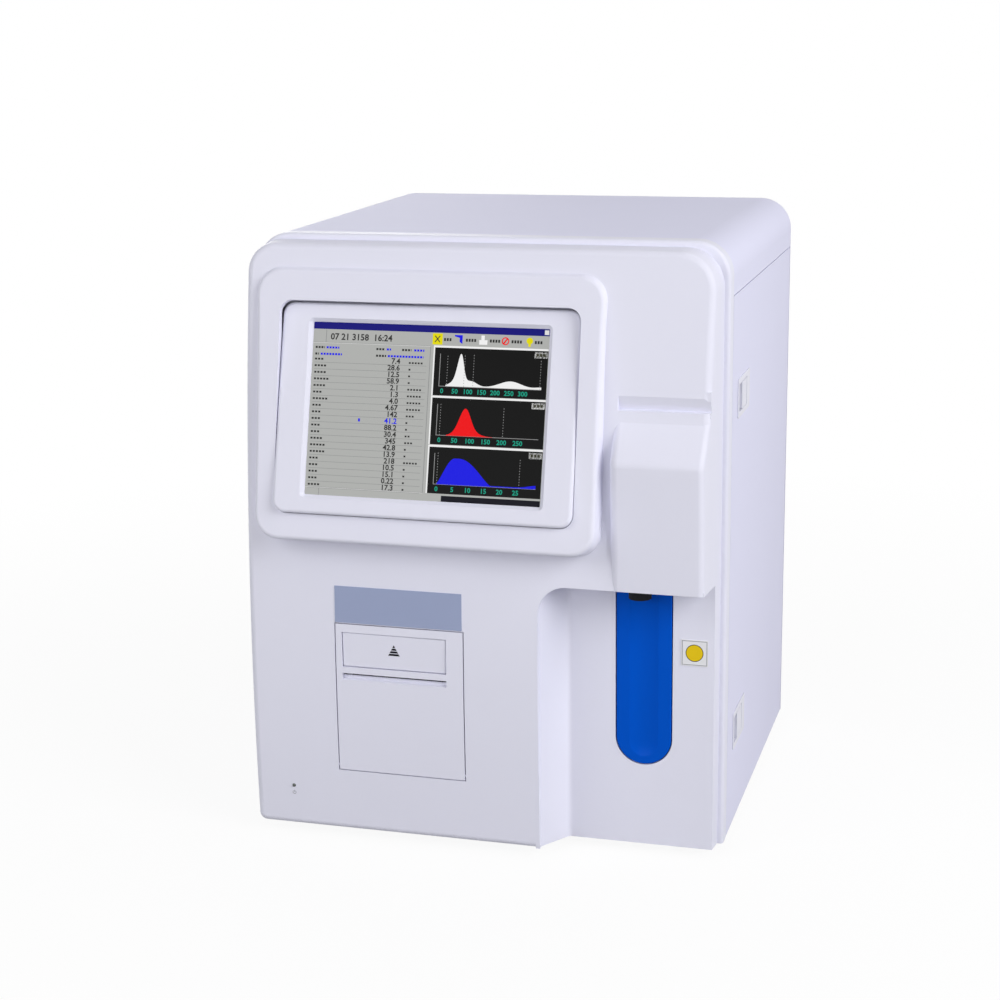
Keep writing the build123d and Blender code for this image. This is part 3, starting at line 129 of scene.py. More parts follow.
def add_piece(name, points, faces, material, body=None, smooth=False):
    """Mesh piece from arrays of points and faces; it rides on a body, or is left for the stage."""
    mesh = bpy.data.meshes.new(name)
    corners = np.asarray(points, float).reshape(-1, 3).tolist()
    mesh.from_pydata(corners, [], [list(map(int, f)) for f in faces])
    mesh.polygons.foreach_set("use_smooth", [smooth] * len(mesh.polygons))
    mesh.materials.append(material)
    mesh.update()
    piece = bpy.data.objects.new(name, mesh)
    bpy.context.scene.collection.objects.link(piece)
    if body:
        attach(piece, body)
    return piece


for box in SOFT_BOXES:
    soft_box(*box)
world = bpy.data.worlds.new("studio")
bpy.context.scene.world = world
world.use_nodes = True
sky = world.node_tree.nodes["Background"]
sky.inputs["Color"].default_value = (1.0, 1.0, 1.0, 1.0)
sky.inputs["Strength"].default_value = SKY_LIGHT
world.node_tree.links.new(
    white_to_camera(world.node_tree, sky.outputs[0], 1.0),
    world.node_tree.nodes["World Output"].inputs["Surface"])
floor_paint = bpy.data.materials.new("floor_white")
floor_paint.use_nodes = True
floor_tree = floor_paint.node_tree
floor_shader = floor_tree.nodes["Principled BSDF"]
floor_tone = reckon(floor_tree, "MULTIPLY_ADD", seen_rays(floor_tree), FLOOR_SEEN, FLOOR_BOUNCE)
floor_tree.links.new(floor_tone, floor_shader.inputs["Base Color"])
floor_shader.inputs["Roughness"].default_value = 0.9
floor_shader.inputs["Specular IOR Level"].default_value = 0.0
place = floor_tree.nodes.new("ShaderNodeTexCoord")
distance = floor_tree.nodes.new("ShaderNodeVectorMath")
distance.operation = "LENGTH"
floor_tree.links.new(place.outputs["Object"], distance.inputs[0])
fade = floor_tree.nodes.new("ShaderNodeMapRange")
for label, value in (("From Min", FADE_NEAR), ("From Max", FADE_FAR), ("To Min", WHITE_NEAR),
                     ("To Max", WHITE_FAR)):
    fade.inputs[label].default_value = value
floor_tree.links.new(distance.outputs["Value"], fade.inputs["Value"])
floor_tree.links.new(
    white_to_camera(floor_tree, floor_shader.outputs[0], fade.outputs["Result"]),
    floor_tree.nodes["Material Output"].inputs["Surface"])
corner = np.array([(-1, -1, 0), (1, -1, 0), (1, 1, 0), (-1, 1, 0)]) * FLOOR_REACH
add_piece("floor", corner, [(0, 1, 2, 3)], floor_paint)


# Front moulding, screen frames and printer door: injection-moulded in one pale lilac white,
# satin, with a fine spark texture from the mould and a slow drift of tone over large faces.
MOULDED = (0.79, 0.79, 0.905)


def surface_group():
    """Finish of a made surface: with n = drift * (slow noise - 0.5), the colour is multiplied by
    1 + n, n is added to the roughness, and the normal comes from fine noise at the given scale."""
    group = bpy.data.node_groups.new("surface_finish", "ShaderNodeTree")
    for label, kind in (("Colour", "Color"), ("Drift", "Float"), ("Roughness", "Float"),
                        ("Ripple", "Float"), ("Ripple Scale", "Float")):
        group.interface.new_socket(label, in_out="INPUT", socket_type="NodeSocket" + kind)
    for label, kind in (("Colour", "Color"), ("Roughness", "Float"), ("Normal", "Vector")):
        group.interface.new_socket(label, in_out="OUTPUT", socket_type="NodeSocket" + kind)
    link = group.links.new
    given, result = group.nodes.new("NodeGroupInput"), group.nodes.new("NodeGroupOutput")
    place = group.nodes.new("ShaderNodeTexCoord")
    slow = group.nodes.new("ShaderNodeTexNoise")
    slow.inputs["Scale"].default_value = 9.0
    slow.inputs["Detail"].default_value = 3.0
    link(place.outputs["Object"], slow.inputs["Vector"])
    swing = reckon(group, "SUBTRACT", slow.outputs["Fac"], 0.5)
    amount = reckon(group, "MULTIPLY", swing, given.outputs["Drift"])
    gain = reckon(group, "ADD", amount, 1.0)
    tint = group.nodes.new("ShaderNodeVectorMath")
    tint.operation = "SCALE"
    link(given.outputs["Colour"], tint.inputs[0])
    link(gain, tint.inputs["Scale"])
    link(tint.outputs[0], result.inputs["Colour"])
    rough = reckon(group, "ADD", given.outputs["Roughness"], amount)
    link(rough, result.inputs["Roughness"])
    fine = group.nodes.new("ShaderNodeTexNoise")
    fine.inputs["Detail"].default_value = 2.0
    link(place.outputs["Object"], fine.inputs["Vector"])
    link(given.outputs["Ripple Scale"], fine.inputs["Scale"])
    bump = group.nodes.new("ShaderNodeBump")
    bump.inputs["Distance"].default_value = 0.0002
    link(given.outputs["Ripple"], bump.inputs["Strength"])
    link(fine.outputs["Fac"], bump.inputs["Height"])
    link(bump.outputs[0], result.inputs["Normal"])
    return group


SURFACE = surface_group()


def finish(name, colour, roughness, ripple=0.03, grain=0.0015, drift=0.03, **sockets):
    """Material of one finish: a Principled shader fed by the shared surface group, with any
    further sockets set to plain values."""
    material = bpy.data.materials.new(name)
    material.use_nodes = True
    tree = material.node_tree
    shader = tree.nodes["Principled BSDF"]
    surface = tree.nodes.new("ShaderNodeGroup")
    surface.node_tree = SURFACE
    values = {"Colour": (*colour, 1.0), "Drift": drift, "Roughness": roughness, "Ripple": ripple,
              "Ripple Scale": 1.0 / grain}
    for label, value in values.items():
        surface.inputs[label].default_value = value
    for source, target in (("Colour", "Base Color"), ("Roughness", "Roughness"), ("Normal", "Normal")):
        tree.links.new(surface.outputs[source], shader.inputs[target])
    for label, value in sockets.items():
        shader.inputs[label.replace("_", " ")].default_value = value
    return material


WELD_GAP, SHARP = 1e-6, math.radians(30.0)


def dress(material, *names, edge=0.0):
    """Gives CAD nodes a finish; an edge breaks their sharp corners with a small bevel."""
    for name in names:
        node = nodes[name]
        node.data.materials.clear()
        node.data.materials.append(material)
        if edge:
            weld = node.modifiers.new("weld", "WELD")
            weld.merge_threshold = WELD_GAP
            bevel = node.modifiers.new("edge", "BEVEL")
            bevel.width = edge
            bevel.segments = 2
            bevel.limit_method = "ANGLE"
            bevel.angle_limit = SHARP
            bevel.use_clamp_overlap = True


moulded = finish("moulded_white", MOULDED, 0.46, 0.05, 0.0012, Specular_IOR_Level=0.16)
dress(moulded, "front_cover", "screen_ring", "screen_surround", "printer_door")
dress(moulded, "release_button", edge=0.0007)
dress(finish("latch_plastic", (0.74, 0.74, 0.84), 0.4),
      "latch_cups", "upper_latch_paddle", "lower_latch_paddle")


# Cabinet: folded steel sheet with a powder coat in the same pale tone; the coat's orange peel
# shows as a slow ripple.
COATED = (0.775, 0.775, 0.945)
coated = finish("powder_coat", COATED, 0.62, 0.22, 0.0022, 0.02, Specular_IOR_Level=0.12)
dress(coated, "top_cover", "left_panel", "side_door", "rear_panel")
steel = finish("zinc_plated_steel", (0.62, 0.62, 0.60), 0.34, 0.08, 0.004, 0.25, Metallic=0.9)
dress(steel, "base_pan", "front_chassis", "partition", "syringe_bracket", "bath_bracket", "probe_bracket",
      "door_hinges")


# Display: a flat panel behind the window, with a dark frame and a picture of plain figures,
# dashes and curves. The picture is a sheet of coloured areas on the panel's lit face.
SCREEN_MIDDLE = Vector((-0.03465, -0.166507, 0.3215))
SCREEN_TILT, SCREEN_W, SCREEN_H, SCREEN_DEEP = math.radians(15.0), 0.1709, 0.1210, 0.004
across = Vector((1.0, 0.0, 0.0))
upward = Vector((0.0, math.sin(SCREEN_TILT), math.cos(SCREEN_TILT)))
outward = Vector((0.0, -math.cos(SCREEN_TILT), math.sin(SCREEN_TILT)))
panel_face = SCREEN_MIDDLE - outward * SCREEN_DEEP


def on_screen(u, v, lift=0.0):
    """Points on the lit face: u runs from the left edge to the right, v from the top edge down,
    both 0 to 1, lifted off the face by a distance."""
    u, v = np.asarray(u, float), np.asarray(v, float)
    sideways = np.multiply.outer((u - 0.5) * SCREEN_W, across)
    return sideways + np.multiply.outer((0.5 - v) * SCREEN_H, upward) + np.array(panel_face + outward * lift)


GLOW, UNLIT = 0.82, 0.12


def lit(name, colour):
    """Lit picture element: a dark glossy face that glows in its colour."""
    unlit = tuple(UNLIT * c for c in colour)
    material = finish(name, unlit, 0.3, 0.0, 0.001, 0.0, Specular_IOR_Level=0.06)
    shader = material.node_tree.nodes["Principled BSDF"]
    shader.inputs["Emission Color"].default_value = (*colour, 1.0)
    shader.inputs["Emission Strength"].default_value = GLOW
    return material


LAYER, BOLD = 0.00006, 0.024


class Picture:
    """Areas of one colour on the screen, gathered into one flat mesh on its own layer."""

    def __init__(self, name, colour, layer):
        self.name, self.material, self.lift = name, lit(name, colour), LAYER * layer
        self.points, self.faces = [], []

    def area(self, u, v):
        """Polygon through the given corners, turned to face outwards."""
        u, v = np.asarray(u, float), np.asarray(v, float)
        turn = np.sum(u * np.roll(v, -1) - v * np.roll(u, -1))
        order = np.arange(len(u)) if turn < 0 else np.arange(len(u))[::-1]
        start = sum(len(p) for p in self.points)
        self.points.append(on_screen(u[order], v[order], self.lift))
        self.faces.append(tuple(range(start, start + len(u))))

    def bar(self, u0, v0, u1, v1):
        """Upright rectangle between two corners."""
        self.area([u0, u1, u1, u0], [v0, v0, v1, v1])

    def curve(self, u, top, base):
        """Filled curve: quads between a line of heights and its base line."""
        for i in range(len(u) - 1):
            self.area([u[i], u[i + 1], u[i + 1], u[i]], [top[i], top[i + 1], base, base])

    def figures(self, text, u, v, size, right=True):
        """Numbers in the plain built-in type, ending or starting at a point, made a mesh."""
        word = bpy.data.curves.new("figures", "FONT")
        word.body, word.size = text, size
        word.offset = BOLD * size
        word.align_x = "RIGHT" if right else "LEFT"
        word.resolution_u = 2
        holder = bpy.data.objects.new("figures", word)
        flat = bpy.data.meshes.new_from_object(holder)
        place = np.zeros(len(flat.vertices) * 3)
        flat.vertices.foreach_get("co", place)
        place = place.reshape(-1, 3)
        start = sum(len(p) for p in self.points)
        self.points.append(on_screen(u + place[:, 0] / SCREEN_W, v - place[:, 1] / SCREEN_H, self.lift))
        self.faces += [tuple(start + i for i in face.vertices) for face in flat.polygons]
        bpy.data.objects.remove(holder)
        bpy.data.curves.remove(word)
        bpy.data.meshes.remove(flat)

    def put(self):
        """Adds the gathered areas to the cabinet."""
        return add_piece(self.name, np.concatenate(self.points), self.faces, self.material, "cabinet")


grey = Picture("screen_ground", (0.455, 0.462, 0.448), 1)
grey.bar(0.0, 0.0, 1.0, 1.0)
title = Picture("screen_title", (0.006, 0.005, 0.19), 2)
title.bar(0.0, 0.0, 1.0, 0.040)
pale = Picture("screen_pale", (0.80, 0.80, 0.79), 3)
pale.bar(0.977, 0.007, 0.995, 0.033)
line = Picture("screen_lines", (0.235, 0.24, 0.245), 3)
dark = Picture("screen_marks", (0.03, 0.03, 0.03), 3)
blue = Picture("screen_blue", (0.01, 0.01, 0.80), 5)
ground = Picture("screen_plots", (0.0025, 0.0025, 0.0025), 3)
LIST_END, RULE = 0.505, 0.0022
for v in (0.118, 0.955):
    line.bar(0.0, v - RULE, LIST_END, v)
    pale.bar(0.0, v, LIST_END, v + RULE)
line.bar(0.055, 0.044, 0.057, 0.116)
line.bar(0.06, 0.958, 0.0618, 1.0)
line.bar(0.5045, 0.122, 0.5065, 0.955)
dark.figures("07 21 3158  16:24", 0.075, 0.099, 0.0062, right=False)
for u0, u1, v, ink in ((0.012, 0.052, 0.148, dark), (0.060, 0.115, 0.148, blue), (0.275, 0.312, 0.148, dark),
                       (0.320, 0.338, 0.148, blue), (0.385, 0.425, 0.148, dark), (0.437, 0.480, 0.148, blue),
                       (0.012, 0.028, 0.186, dark), (0.036, 0.128, 0.186, blue), (0.275, 0.318, 0.186, dark),
                       (0.326, 0.478, 0.186, blue)):
    for a in np.arange(u0, u1, 0.0125):
        ink.bar(a, v - 0.008, min(a + 0.0088, u1), v + 0.004)
READINGS = ("7.4", "28.6", "12.5", "58.9", "2.1", "1.3", "4.0", "4.67", "142", "41.2", "88.2", "30.4", "345",
            "42.8", "13.9", "218", "10.5", "15.1", "0.22", "17.3")
NAME_DASHES = (3, 4, 4, 5, 4, 3, 5, 3, 3, 3, 3, 3, 4, 5, 5, 3, 3, 3, 3, 4)
UNIT_DASHES = (5, 1, 1, 1, 5, 5, 5, 5, 3, 1, 1, 2, 3, 1, 1, 5, 1, 1, 1, 1)
ROW_TOP, ROW_STEP, CHOSEN_ROW, NAME_STEP, UNIT_STEP = 0.212, 0.0382, 9, 0.0135, 0.0125
for i, reading in enumerate(READINGS):
    v = ROW_TOP + ROW_STEP * i
    ink = blue if i == CHOSEN_ROW else dark
    ink.figures(reading, 0.380, v + 0.014, 0.0053)
    line.bar(0.010, v + 0.0205, 0.492, v + 0.0222)
    for k in range(NAME_DASHES[i]):
        dark.bar(0.012 + NAME_STEP * k, v - 0.004, 0.0212 + NAME_STEP * k, v + 0.007)
    for k in range(UNIT_DASHES[i]):
        dark.bar(0.442 + UNIT_STEP * (k - 2), v + 0.002, 0.450 + UNIT_STEP * (k - 2), v + 0.012)
blue.bar(0.214, 0.548, 0.222, 0.566)
yellow = Picture("screen_yellow", (0.80, 0.72, 0.002), 4)
red = Picture("screen_red", (0.90, 0.005, 0.008), 5)
mark = Picture("screen_icon_lines", (0.05, 0.05, 0.03), 6)
yellow.bar(0.512, 0.044, 0.554, 0.108)
for lean in (1, -1):
    u = 0.533 + lean * np.array([-0.012, -0.009, 0.012, 0.009])
    mark.area(u, [0.060, 0.056, 0.092, 0.096])
blue.area([0.605, 0.638, 0.638, 0.626, 0.626, 0.605], [0.050, 0.050, 0.100, 0.088, 0.066, 0.058])
paper = Picture("screen_paper", (0.92, 0.92, 0.92), 4)
paper.bar(0.716, 0.048, 0.730, 0.078)
paper.bar(0.708, 0.074, 0.742, 0.100)
around = np.linspace(0, 2 * np.pi, 25)
ring_u, ring_v = np.cos(around) / SCREEN_W, np.sin(around) / SCREEN_H
RING_R, RING_INNER = 0.0027, 0.72
for i in range(len(around) - 1):
    both, reach = [i, i + 1, i + 1, i], np.array([1.0, 1.0, RING_INNER, RING_INNER]) * RING_R
    red.area(0.817 + ring_u[both] * reach, 0.076 + ring_v[both] * reach)
red.area([0.806, 0.811, 0.829, 0.824], [0.090, 0.094, 0.061, 0.057])
yellow.area(0.917 + ring_u[:-1] * 0.0023, 0.070 + ring_v[:-1] * 0.0023)
yellow.bar(0.912, 0.084, 0.922, 0.103)
for u0, u1 in ((0.560, 0.588), (0.652, 0.698), (0.752, 0.792), (0.842, 0.884), (0.938, 0.974)):
    for a in np.arange(u0, u1 - 0.004, 0.0115):
        dark.bar(a, 0.069, a + 0.008, 0.086)
white = Picture("screen_white", (0.92, 0.92, 0.92), 4)
tick = Picture("screen_figures", (0.01, 0.36, 0.24), 5)
axis_grey = Picture("screen_axes", (0.33, 0.33, 0.33), 5)
for top, foot, labels in ((0.124, 0.397, ("0", "50", "100", "150", "200", "250", "300")),
                          (0.410, 0.676, ("0", "50", "100", "150", "200", "250")),
                          (0.690, 0.955, ("0", "5", "10", "15", "20", "25"))):
    white.bar(0.519, top - 0.011, 0.9965, top)
    white.bar(0.519, top, 0.525, foot)
    ground.bar(0.525, top, 0.9965, foot)
    axis_grey.bar(0.548, top + 0.035, 0.5505, foot - 0.053)
    axis_grey.bar(0.548, foot - 0.055, 0.975, foot - 0.052)
    for k, label in enumerate(labels):
        u = 0.553 + 0.400 * k / len(labels)
        tick.figures(label, u + 0.004 * len(label) + 0.012, foot - 0.014, 0.0046)
    pale.bar(0.940, top + 0.008, 0.9935, top + 0.042)
    for k in range(3):
        mark.bar(0.948 + 0.014 * k, top + 0.017, 0.958 + 0.014 * k, top + 0.033)


def dotted(u, v0, v1):
    """Row of short dashes down a plot."""
    for v in np.arange(v0, v1, 0.0155):
        axis_grey.bar(u, v, u + 0.0022, v + 0.006)


for u, top in ((0.580, 0.170), (0.652, 0.165), (0.690, 0.160), (0.968, 0.180), (0.562, 0.445), (0.826, 0.455),
               (0.562, 0.722), (0.905, 0.740)):
    foot = 0.344 if top < 0.3 else 0.624 if top < 0.6 else 0.902
    dotted(u, top, foot)
PLOT_LEFT, PLOT_WIDE = 0.550, 0.425
along = np.linspace(0.0, 1.0, 121)


def hump(middle, width, height):
    """Bell curve over the length of the axis: height times exp of minus half the squared distance."""
    return height * np.exp(-0.5 * ((along - middle) / width) ** 2)


counts = hump(0.205, 0.030, 0.150) + hump(0.175, 0.055, 0.035) + hump(0.315, 0.055, 0.030) \
    + hump(0.700, 0.105, 0.038) + hump(1.0, 0.06, 0.010)
counts = np.where(along < 0.06, 0.0, counts + 0.004)
white.curve(PLOT_LEFT + PLOT_WIDE * along, 0.344 - counts, 0.344)
counts = hump(0.275, 0.055, 0.130) + hump(0.30, 0.10, 0.028)
counts = np.where((along < 0.10) | (along > 0.55), 0.0, counts)
red.curve(PLOT_LEFT + PLOT_WIDE * along, 0.623 - counts, 0.623)
rise = np.clip((along - 0.03) / 0.17, 0, 1)
fall = np.clip((0.56 - along) / 0.32, 0, 1)
counts = 0.145 * np.sin(rise * np.pi / 2) ** 1.3 * np.sin(fall * np.pi / 2) ** 1.25 + 0.006 \
    + hump(1.0, 0.07, 0.014)
counts = np.where(along < 0.03, 0.0, counts)
blue.curve(PLOT_LEFT + PLOT_WIDE * along, 0.902 - counts, 0.902)
shade = Picture("screen_status", (0.004, 0.004, 0.010), 4)
shade.bar(0.585, 0.966, 0.9965, 1.0)
for layer in (grey, title, pale, line, dark, blue, ground, yellow, red, mark, paper, white, tick,
              axis_grey, shade):
    layer.put()
dress(finish("panel_black", (0.02, 0.02, 0.024), 0.3), "display_panel")


# Ink: matt, a few hundredths of a millimetre thick, printed on the thumb pad, on the sticker and
# under the lamp. Each printed area follows the face of the piece below it.
INK_LIFT = 0.00006
ink_black = finish("ink_black", (0.012, 0.012, 0.016), 0.6, 0.0, 0.001, 0.0, Specular_IOR_Level=0.1)
ink_grey = finish("ink_grey", (0.30, 0.30, 0.34), 0.6, 0.0, 0.001, 0.0, Specular_IOR_Level=0.1)
ink_yellow = finish("ink_yellow", (0.80, 0.56, 0.01), 0.5, 0.0, 0.001, 0.0, Specular_IOR_Level=0.1)


def box_of(name):
    """Lowest and highest corner of a CAD node."""
    corners = np.array([nodes[name].matrix_world @ Vector(c) for c in nodes[name].bound_box])
    return corners.min(0), corners.max(0)


def front_face(name, x, z, way=1.0):
    """Place in y of a node's foremost surface at places x and z, found with rays along +Y, or of
    its rear surface, with rays along -Y, where way is -1."""
    mesh = nodes[name].data
    tree = BVHTree.FromPolygons(
        [nodes[name].matrix_world @ v.co for v in mesh.vertices], [tuple(f.vertices) for f in mesh.polygons])
    hits = [tree.ray_cast(Vector((a, -way, b)), Vector((0.0, way, 0.0)))[0] for a, b in zip(x, z)]
    return np.array([h.y for h in hits])


def ink(name, on, outlines, material, body):
    """Flat printed areas: polygons in x and z, laid on a node's front face."""
    points, faces = [], []
    for x, z in outlines:
        x, z = np.asarray(x, float), np.asarray(z, float)
        if np.sum(x * np.roll(z, -1) - z * np.roll(x, -1)) < 0:
            x, z = x[::-1], z[::-1]
        faces.append(tuple(range(len(points), len(points) + len(x))))
        points += list(np.stack([x, front_face(on, x, z) - INK_LIFT, z], 1))
    return add_piece(name, points, faces, material, body)


def band(middle, inner, outer, start, stop, count):
    """Ring sector as quads, between two radii and two angles in degrees from the +x direction."""
    turn = np.radians(np.linspace(start, stop, count + 1))
    c, d = np.cos(turn), np.sin(turn)
    return [(middle[0] + np.array([inner * c[i], outer * c[i], outer * c[i + 1], inner * c[i + 1]]),
             middle[1] + np.array([inner * d[i], outer * d[i], outer * d[i + 1], inner * d[i + 1]]))
            for i in range(count)]


# Arrow on the thumb pad: a black triangle in four bars with its point up, printed in the middle
# of the pad.
pad_low, pad_high = box_of("release_button")
ARROW_W, ARROW_H, ARROW_BARS, ARROW_DROP, BAR_SHARE = 0.0086, 0.0080, 4, 0.0022, 0.76
arrow_x, arrow_z = (pad_low[0] + pad_high[0]) / 2, (pad_low[2] + pad_high[2]) / 2 - ARROW_DROP
bars = []
for i in range(ARROW_BARS):
    low, high = i / ARROW_BARS, (i + BAR_SHARE) / ARROW_BARS if i < ARROW_BARS - 1 else 1.0
    half_low, half_high = ARROW_W / 2 * (1 - low), max(ARROW_W / 2 * (1 - high), 1e-5)
    bars.append((arrow_x + np.array([-half_low, half_low, half_high, -half_high]),
                 arrow_z + ARROW_H * np.array([low, low, high, high])))
ink("pad_arrow", "release_button", bars, ink_black, "release_button")


# Sticker in the sample bay: white film, printed with a thin grey frame and with a yellow disc
# that a black ring goes round.
note_low, note_high = box_of("bay_sticker")
note = ((note_low[0] + note_high[0]) / 2, (note_low[2] + note_high[2]) / 2)
FRAME_MARGIN, FRAME_LINE = 0.0006, 0.00045
half, line_w = (note_high[0] - note_low[0]) / 2 - FRAME_MARGIN, FRAME_LINE
frame_bars = [(note[0] + np.array([-half, half, half, -half]),
               note[1] + s * half - np.array([0, 0, 1, 1]) * s * line_w) for s in (-1, 1)]
frame_bars += [(note[0] + s * half - np.array([0, 1, 1, 0]) * s * line_w,
                note[1] + np.array([-1, -1, 1, 1]) * (half - line_w)) for s in (-1, 1)]
DISC_R, DISC_RING_R = 0.0058, 0.0063
ink("sticker_frame", "bay_sticker", frame_bars, ink_grey, "cabinet")
ink("sticker_disc", "bay_sticker", band(note, 0.0, DISC_R, 0, 360, 32), ink_yellow, "cabinet")
ink("sticker_ring", "bay_sticker", band(note, DISC_R, DISC_RING_R, 0, 360, 32), ink_black, "cabinet")


# Mark under the power lamp: a ring that is open at the top, with an upright stroke in the gap,
# printed in grey on the front moulding.
MARK_DROP, MARK_INNER, MARK_OUTER, STROKE_HALF = 0.0042, 0.00105, 0.00140, 0.00017
STROKE_FOOT, STROKE_TOP = 0.0002, 0.0018
lamp_low, lamp_high = box_of("power_lamp")
mark_at = ((lamp_low[0] + lamp_high[0]) / 2, lamp_low[2] - MARK_DROP)
stroke = (mark_at[0] + np.array([-1, 1, 1, -1]) * STROKE_HALF,
          mark_at[1] + np.array([STROKE_FOOT, STROKE_FOOT, STROKE_TOP, STROKE_TOP]))
ink("lamp_mark", "front_cover", band(mark_at, MARK_INNER, MARK_OUTER, 120, 420, 20) + [stroke],
    ink_grey, "cabinet")


# Tear bar: a serrated strip behind the door's paper slot, in the same plastic and colour as the
# door, along whose rear face it runs.
TOOTH, TOOTH_DEEP, BAR_TOP, BAR_FOOT, BAR_DEEP = 0.0016, 0.0005, 0.1272, 0.1215, 0.0010
BAR_PAST_PAD, BAR_GAP, WALL_Z, WALL_STEP = 0.001, 0.0001, 0.118, 0.003
bar_x = np.arange(pad_low[0] - BAR_PAST_PAD, pad_high[0] + BAR_PAST_PAD, TOOTH / 2)
bar_top = BAR_TOP - TOOTH_DEEP * (np.arange(len(bar_x)) % 2)
bar_y = front_face("printer_door", bar_x, np.full(len(bar_x), WALL_Z), -1.0)
plain = abs(bar_y - np.median(bar_y)) < WALL_STEP
bar_y = np.interp(bar_x, bar_x[plain], bar_y[plain]) + BAR_GAP
rows = [(bar_y, np.full(len(bar_x), BAR_FOOT)), (bar_y, bar_top), (bar_y + BAR_DEEP, bar_top),
        (bar_y + BAR_DEEP, np.full(len(bar_x), BAR_FOOT))]
bar_points = np.concatenate([np.stack([bar_x, y, z], 1) for y, z in rows])
count = len(bar_x)
bar_faces = [(r * count + i, r * count + i + 1, (r + 1) % 4 * count + i + 1, (r + 1) % 4 * count + i)
             for r in range(4) for i in range(count - 1)]
bar_faces += [(0, count, 2 * count, 3 * count), (count - 1, 4 * count - 1, 3 * count - 1, 2 * count - 1)]
add_piece("tear_bar", bar_points, bar_faces, moulded, "printer_door")


# Rear screws: plated steel screws with pan heads and a cross recess, which hold the rear panel
# along its two sides and its upper edge.
screw_steel = finish("screw_steel", (0.60, 0.60, 0.58), 0.3, 0.03, 0.002, 0.1, Metallic=1.0)
HEAD_R, HEAD_H, CROSS_HALF, CROSS_REACH, CROSS_DEEP = 0.0032, 0.0019, 0.00042, 0.62, 0.0011
HEAD_RINGS, HEAD_SIDES = 15, 48


def screw_heads(name, places, body):
    """Pan heads at places on the rear face, all in one mesh, pointing along +Y: the height at a
    share r of the radius is HEAD_H * sqrt(1 - r^4), less CROSS_DEEP inside the cross."""
    turns = np.linspace(0, 2 * np.pi, HEAD_SIDES, endpoint=False)
    radius, turn = np.meshgrid(np.linspace(0.02, 1.0, HEAD_RINGS), turns, indexing="ij")
    x, z = HEAD_R * radius * np.cos(turn), HEAD_R * radius * np.sin(turn)
    height = HEAD_H * np.sqrt(np.clip(1.0 - radius ** 4, 0.0, 1.0))
    in_cross = (np.minimum(abs(x), abs(z)) < CROSS_HALF) & (radius < CROSS_REACH)
    height = np.where(in_cross, height - CROSS_DEEP, height)
    points, faces = [], []
    for place in places:
        start = len(points)
        points += list(np.stack([place[0] + x, place[1] + height, place[2] + z], 2).reshape(-1, 3))
        for i in range(HEAD_RINGS - 1):
            ring = start + HEAD_SIDES * i
            for k in range(HEAD_SIDES):
                a, b = ring + k, ring + (k + 1) % HEAD_SIDES
                faces.append((a, a + HEAD_SIDES, b + HEAD_SIDES, b))
        faces.append(tuple(start + k for k in range(HEAD_SIDES)))
    return add_piece(name, points, [f[::-1] for f in faces], screw_steel, body)


rear_y = box_of("rear_panel")[1][1]
side_screws = [(x, z) for x in (-0.158, 0.157) for z in (0.030, 0.150, 0.270, 0.385)]
top_screws = [(-0.05, 0.427), (0.05, 0.427)]
screw_heads("rear_screws", [(x, rear_y, z) for x, z in side_screws + top_screws], "cabinet")


# Start key: moulded in one deep blue plastic, satin, with a groove down its face for the tube.
dress(finish("key_blue", (0.0003, 0.085, 0.56), 0.3, 0.03, 0.0018, 0.03, Specular_IOR_Level=0.04),
      "aspirate_key")


# Bright steel: the spring wire, the ground guide rods, the drawn probe tube, the lead screw and
# the wire guard of the fan.
spring_steel = finish("spring_steel", (0.55, 0.55, 0.56), 0.22, 0.04, 0.002, 0.1, Metallic=1.0)
dress(spring_steel, "key_spring", "guide_rods", "sample_probe", "syringe_screw", "fan_guard")


# Rubber: the black wiper under the nose, the moulded feet, the drive belt and the sleeve of the
# paper roller, all matt.
dress(finish("black_rubber", (0.010, 0.010, 0.012), 0.75, 0.3, 0.0008, 0.1, Specular_IOR_Level=0.15),
      "probe_wiper", "rubber_feet", "lift_belt", "platen_roller")


# Black and dark grey mouldings with a textured face: print head, fan, inlet, mains switch, key
# guide and the printer's housing.
dress(finish("black_plastic", (0.03, 0.03, 0.033), 0.45, 0.2, 0.0009, 0.1),
      "print_head", "fan_frame", "fan_rotor", "mains_inlet", "power_rocker", "key_guide")
dress(finish("printer_grey", (0.10, 0.10, 0.11), 0.5, 0.2, 0.001, 0.1), "printer_housing")


# Bare metal parts and motors: machined aluminium with fine tool marks, a folded aluminium case
# round the power supply, and motors with dark grey bodies.
dress(finish("turned_aluminium", (0.72, 0.72, 0.73), 0.3, 0.06, 0.0007, 0.15, Metallic=1.0),
      "drive_pulley", "idler_pulley", "probe_carriage", "syringe_yoke", "earth_post", "data_sockets")
dress(finish("motor_grey", (0.07, 0.07, 0.075), 0.42, 0.15, 0.0012, 0.1, Metallic=0.4),
      "lift_motor", "syringe_motor", "pump_motor")
dress(finish("case_aluminium", (0.60, 0.61, 0.62), 0.38, 0.05, 0.003, 0.2, Metallic=0.9), "power_supply")


# Paper roll: plain white thermal paper, wound on a core and laid loose in the printer's cradle.
dress(finish("thermal_paper", (0.86, 0.86, 0.84), 0.8, 0.1, 0.0006, 0.03), "paper_roll")


# Lamp, label and sticker on the front: a dark glossy lens, a plain grey plate, and a square of
# white film that carries the printed disc.
dress(finish("lamp_lens", (0.04, 0.05, 0.045), 0.15, 0.0, 0.001, 0.0, Coat_Weight=1.0), "power_lamp")
dress(finish("label_grey", (0.33, 0.38, 0.56), 0.5, 0.05, 0.001, 0.02, Specular_IOR_Level=0.2),
      "label_plate")
dress(finish("sticker_white", (0.80, 0.80, 0.83), 0.4, 0.02, 0.001, 0.02), "bay_sticker")


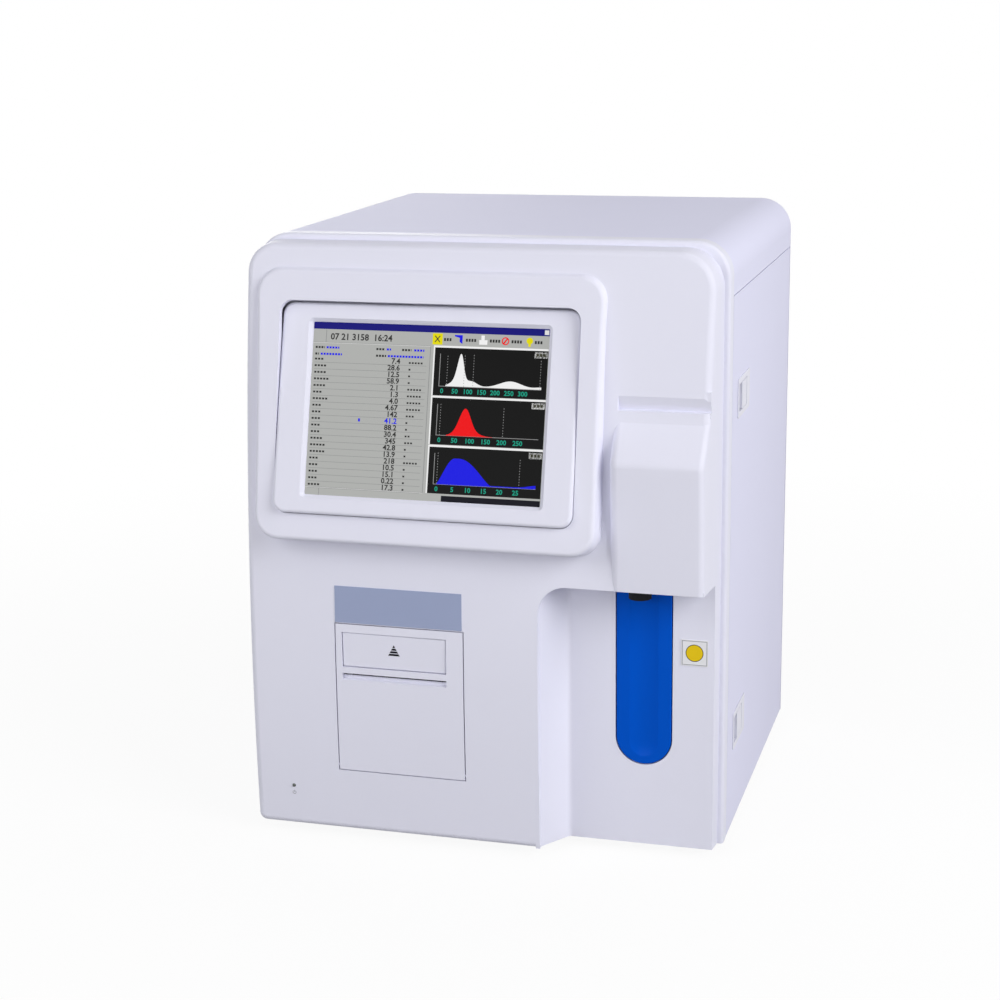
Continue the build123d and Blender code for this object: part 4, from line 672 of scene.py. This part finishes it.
# Fluid parts: clear acrylic baths and barrels, white plungers, pump rotor and ports, a milky
# moulded jar, and valves and pump head in dull yellow plastic.
acrylic = finish(
    "clear_acrylic", (0.85, 0.88, 0.90), 0.12, 0.0, 0.001, 0.0, Transmission_Weight=0.85, IOR=1.49)
dress(acrylic, "counting_baths", "syringe_barrels")
dress(finish("piston_white", (0.75, 0.75, 0.74), 0.4), "syringe_plungers", "pump_rotor", "fluid_ports")
dress(finish("jar_milky", (0.80, 0.82, 0.80), 0.35, 0.05, 0.002, 0.03, Transmission_Weight=0.3), "waste_jar")
dress(finish("coil_yellow", (0.55, 0.42, 0.10), 0.4), "solenoid_valves", "pump_head")


# Main board: green lacquer over the copper, on spacers at the partition.
dress(finish("board_green", (0.02, 0.16, 0.06), 0.35, 0.1, 0.001, 0.2), "main_board")


# Key spring: a coil of hard round wire between the guide and the back of the start key.
SPRING_TURNS, WIRE_R, KEY_STROKE = 7, 0.0006, 0.003
WIRE_SIDES, TURN_STEPS = 10, 28
coil_low, coil_high = box_of("key_spring")


def coil():
    """Helix tube: radius R about the y axis, y rising evenly with the angle t, and a wire circle of
    radius r in the plane of the radius and the axis."""
    t, a = np.meshgrid(np.linspace(0, 2 * np.pi * SPRING_TURNS, TURN_STEPS * SPRING_TURNS + 1),
                       np.linspace(0, 2 * np.pi, WIRE_SIDES, endpoint=False), indexing="ij")
    reach = (coil_high[0] - coil_low[0]) / 2 - WIRE_R + WIRE_R * np.cos(a)
    span = coil_high[1] - coil_low[1] - 2 * WIRE_R
    y = coil_low[1] + WIRE_R + span * t / (2 * np.pi * SPRING_TURNS) + WIRE_R * np.sin(a)
    middle = (coil_low + coil_high) / 2
    points = np.stack([middle[0] + reach * np.cos(t), y, middle[2] + reach * np.sin(t)], 2)
    rings, n = t.shape
    faces = [(n * i + k, n * i + (k + 1) % n, n * i + n + (k + 1) % n, n * i + n + k)
             for i in range(rings - 1) for k in range(n)]
    faces += [tuple(range(n - 1, -1, -1)), tuple(range(n * (rings - 1), n * rings))]
    return points, faces


spring = add_piece("coil_spring", *coil(), spring_steel, "cabinet", smooth=True)
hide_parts("key_spring")
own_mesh(spring)
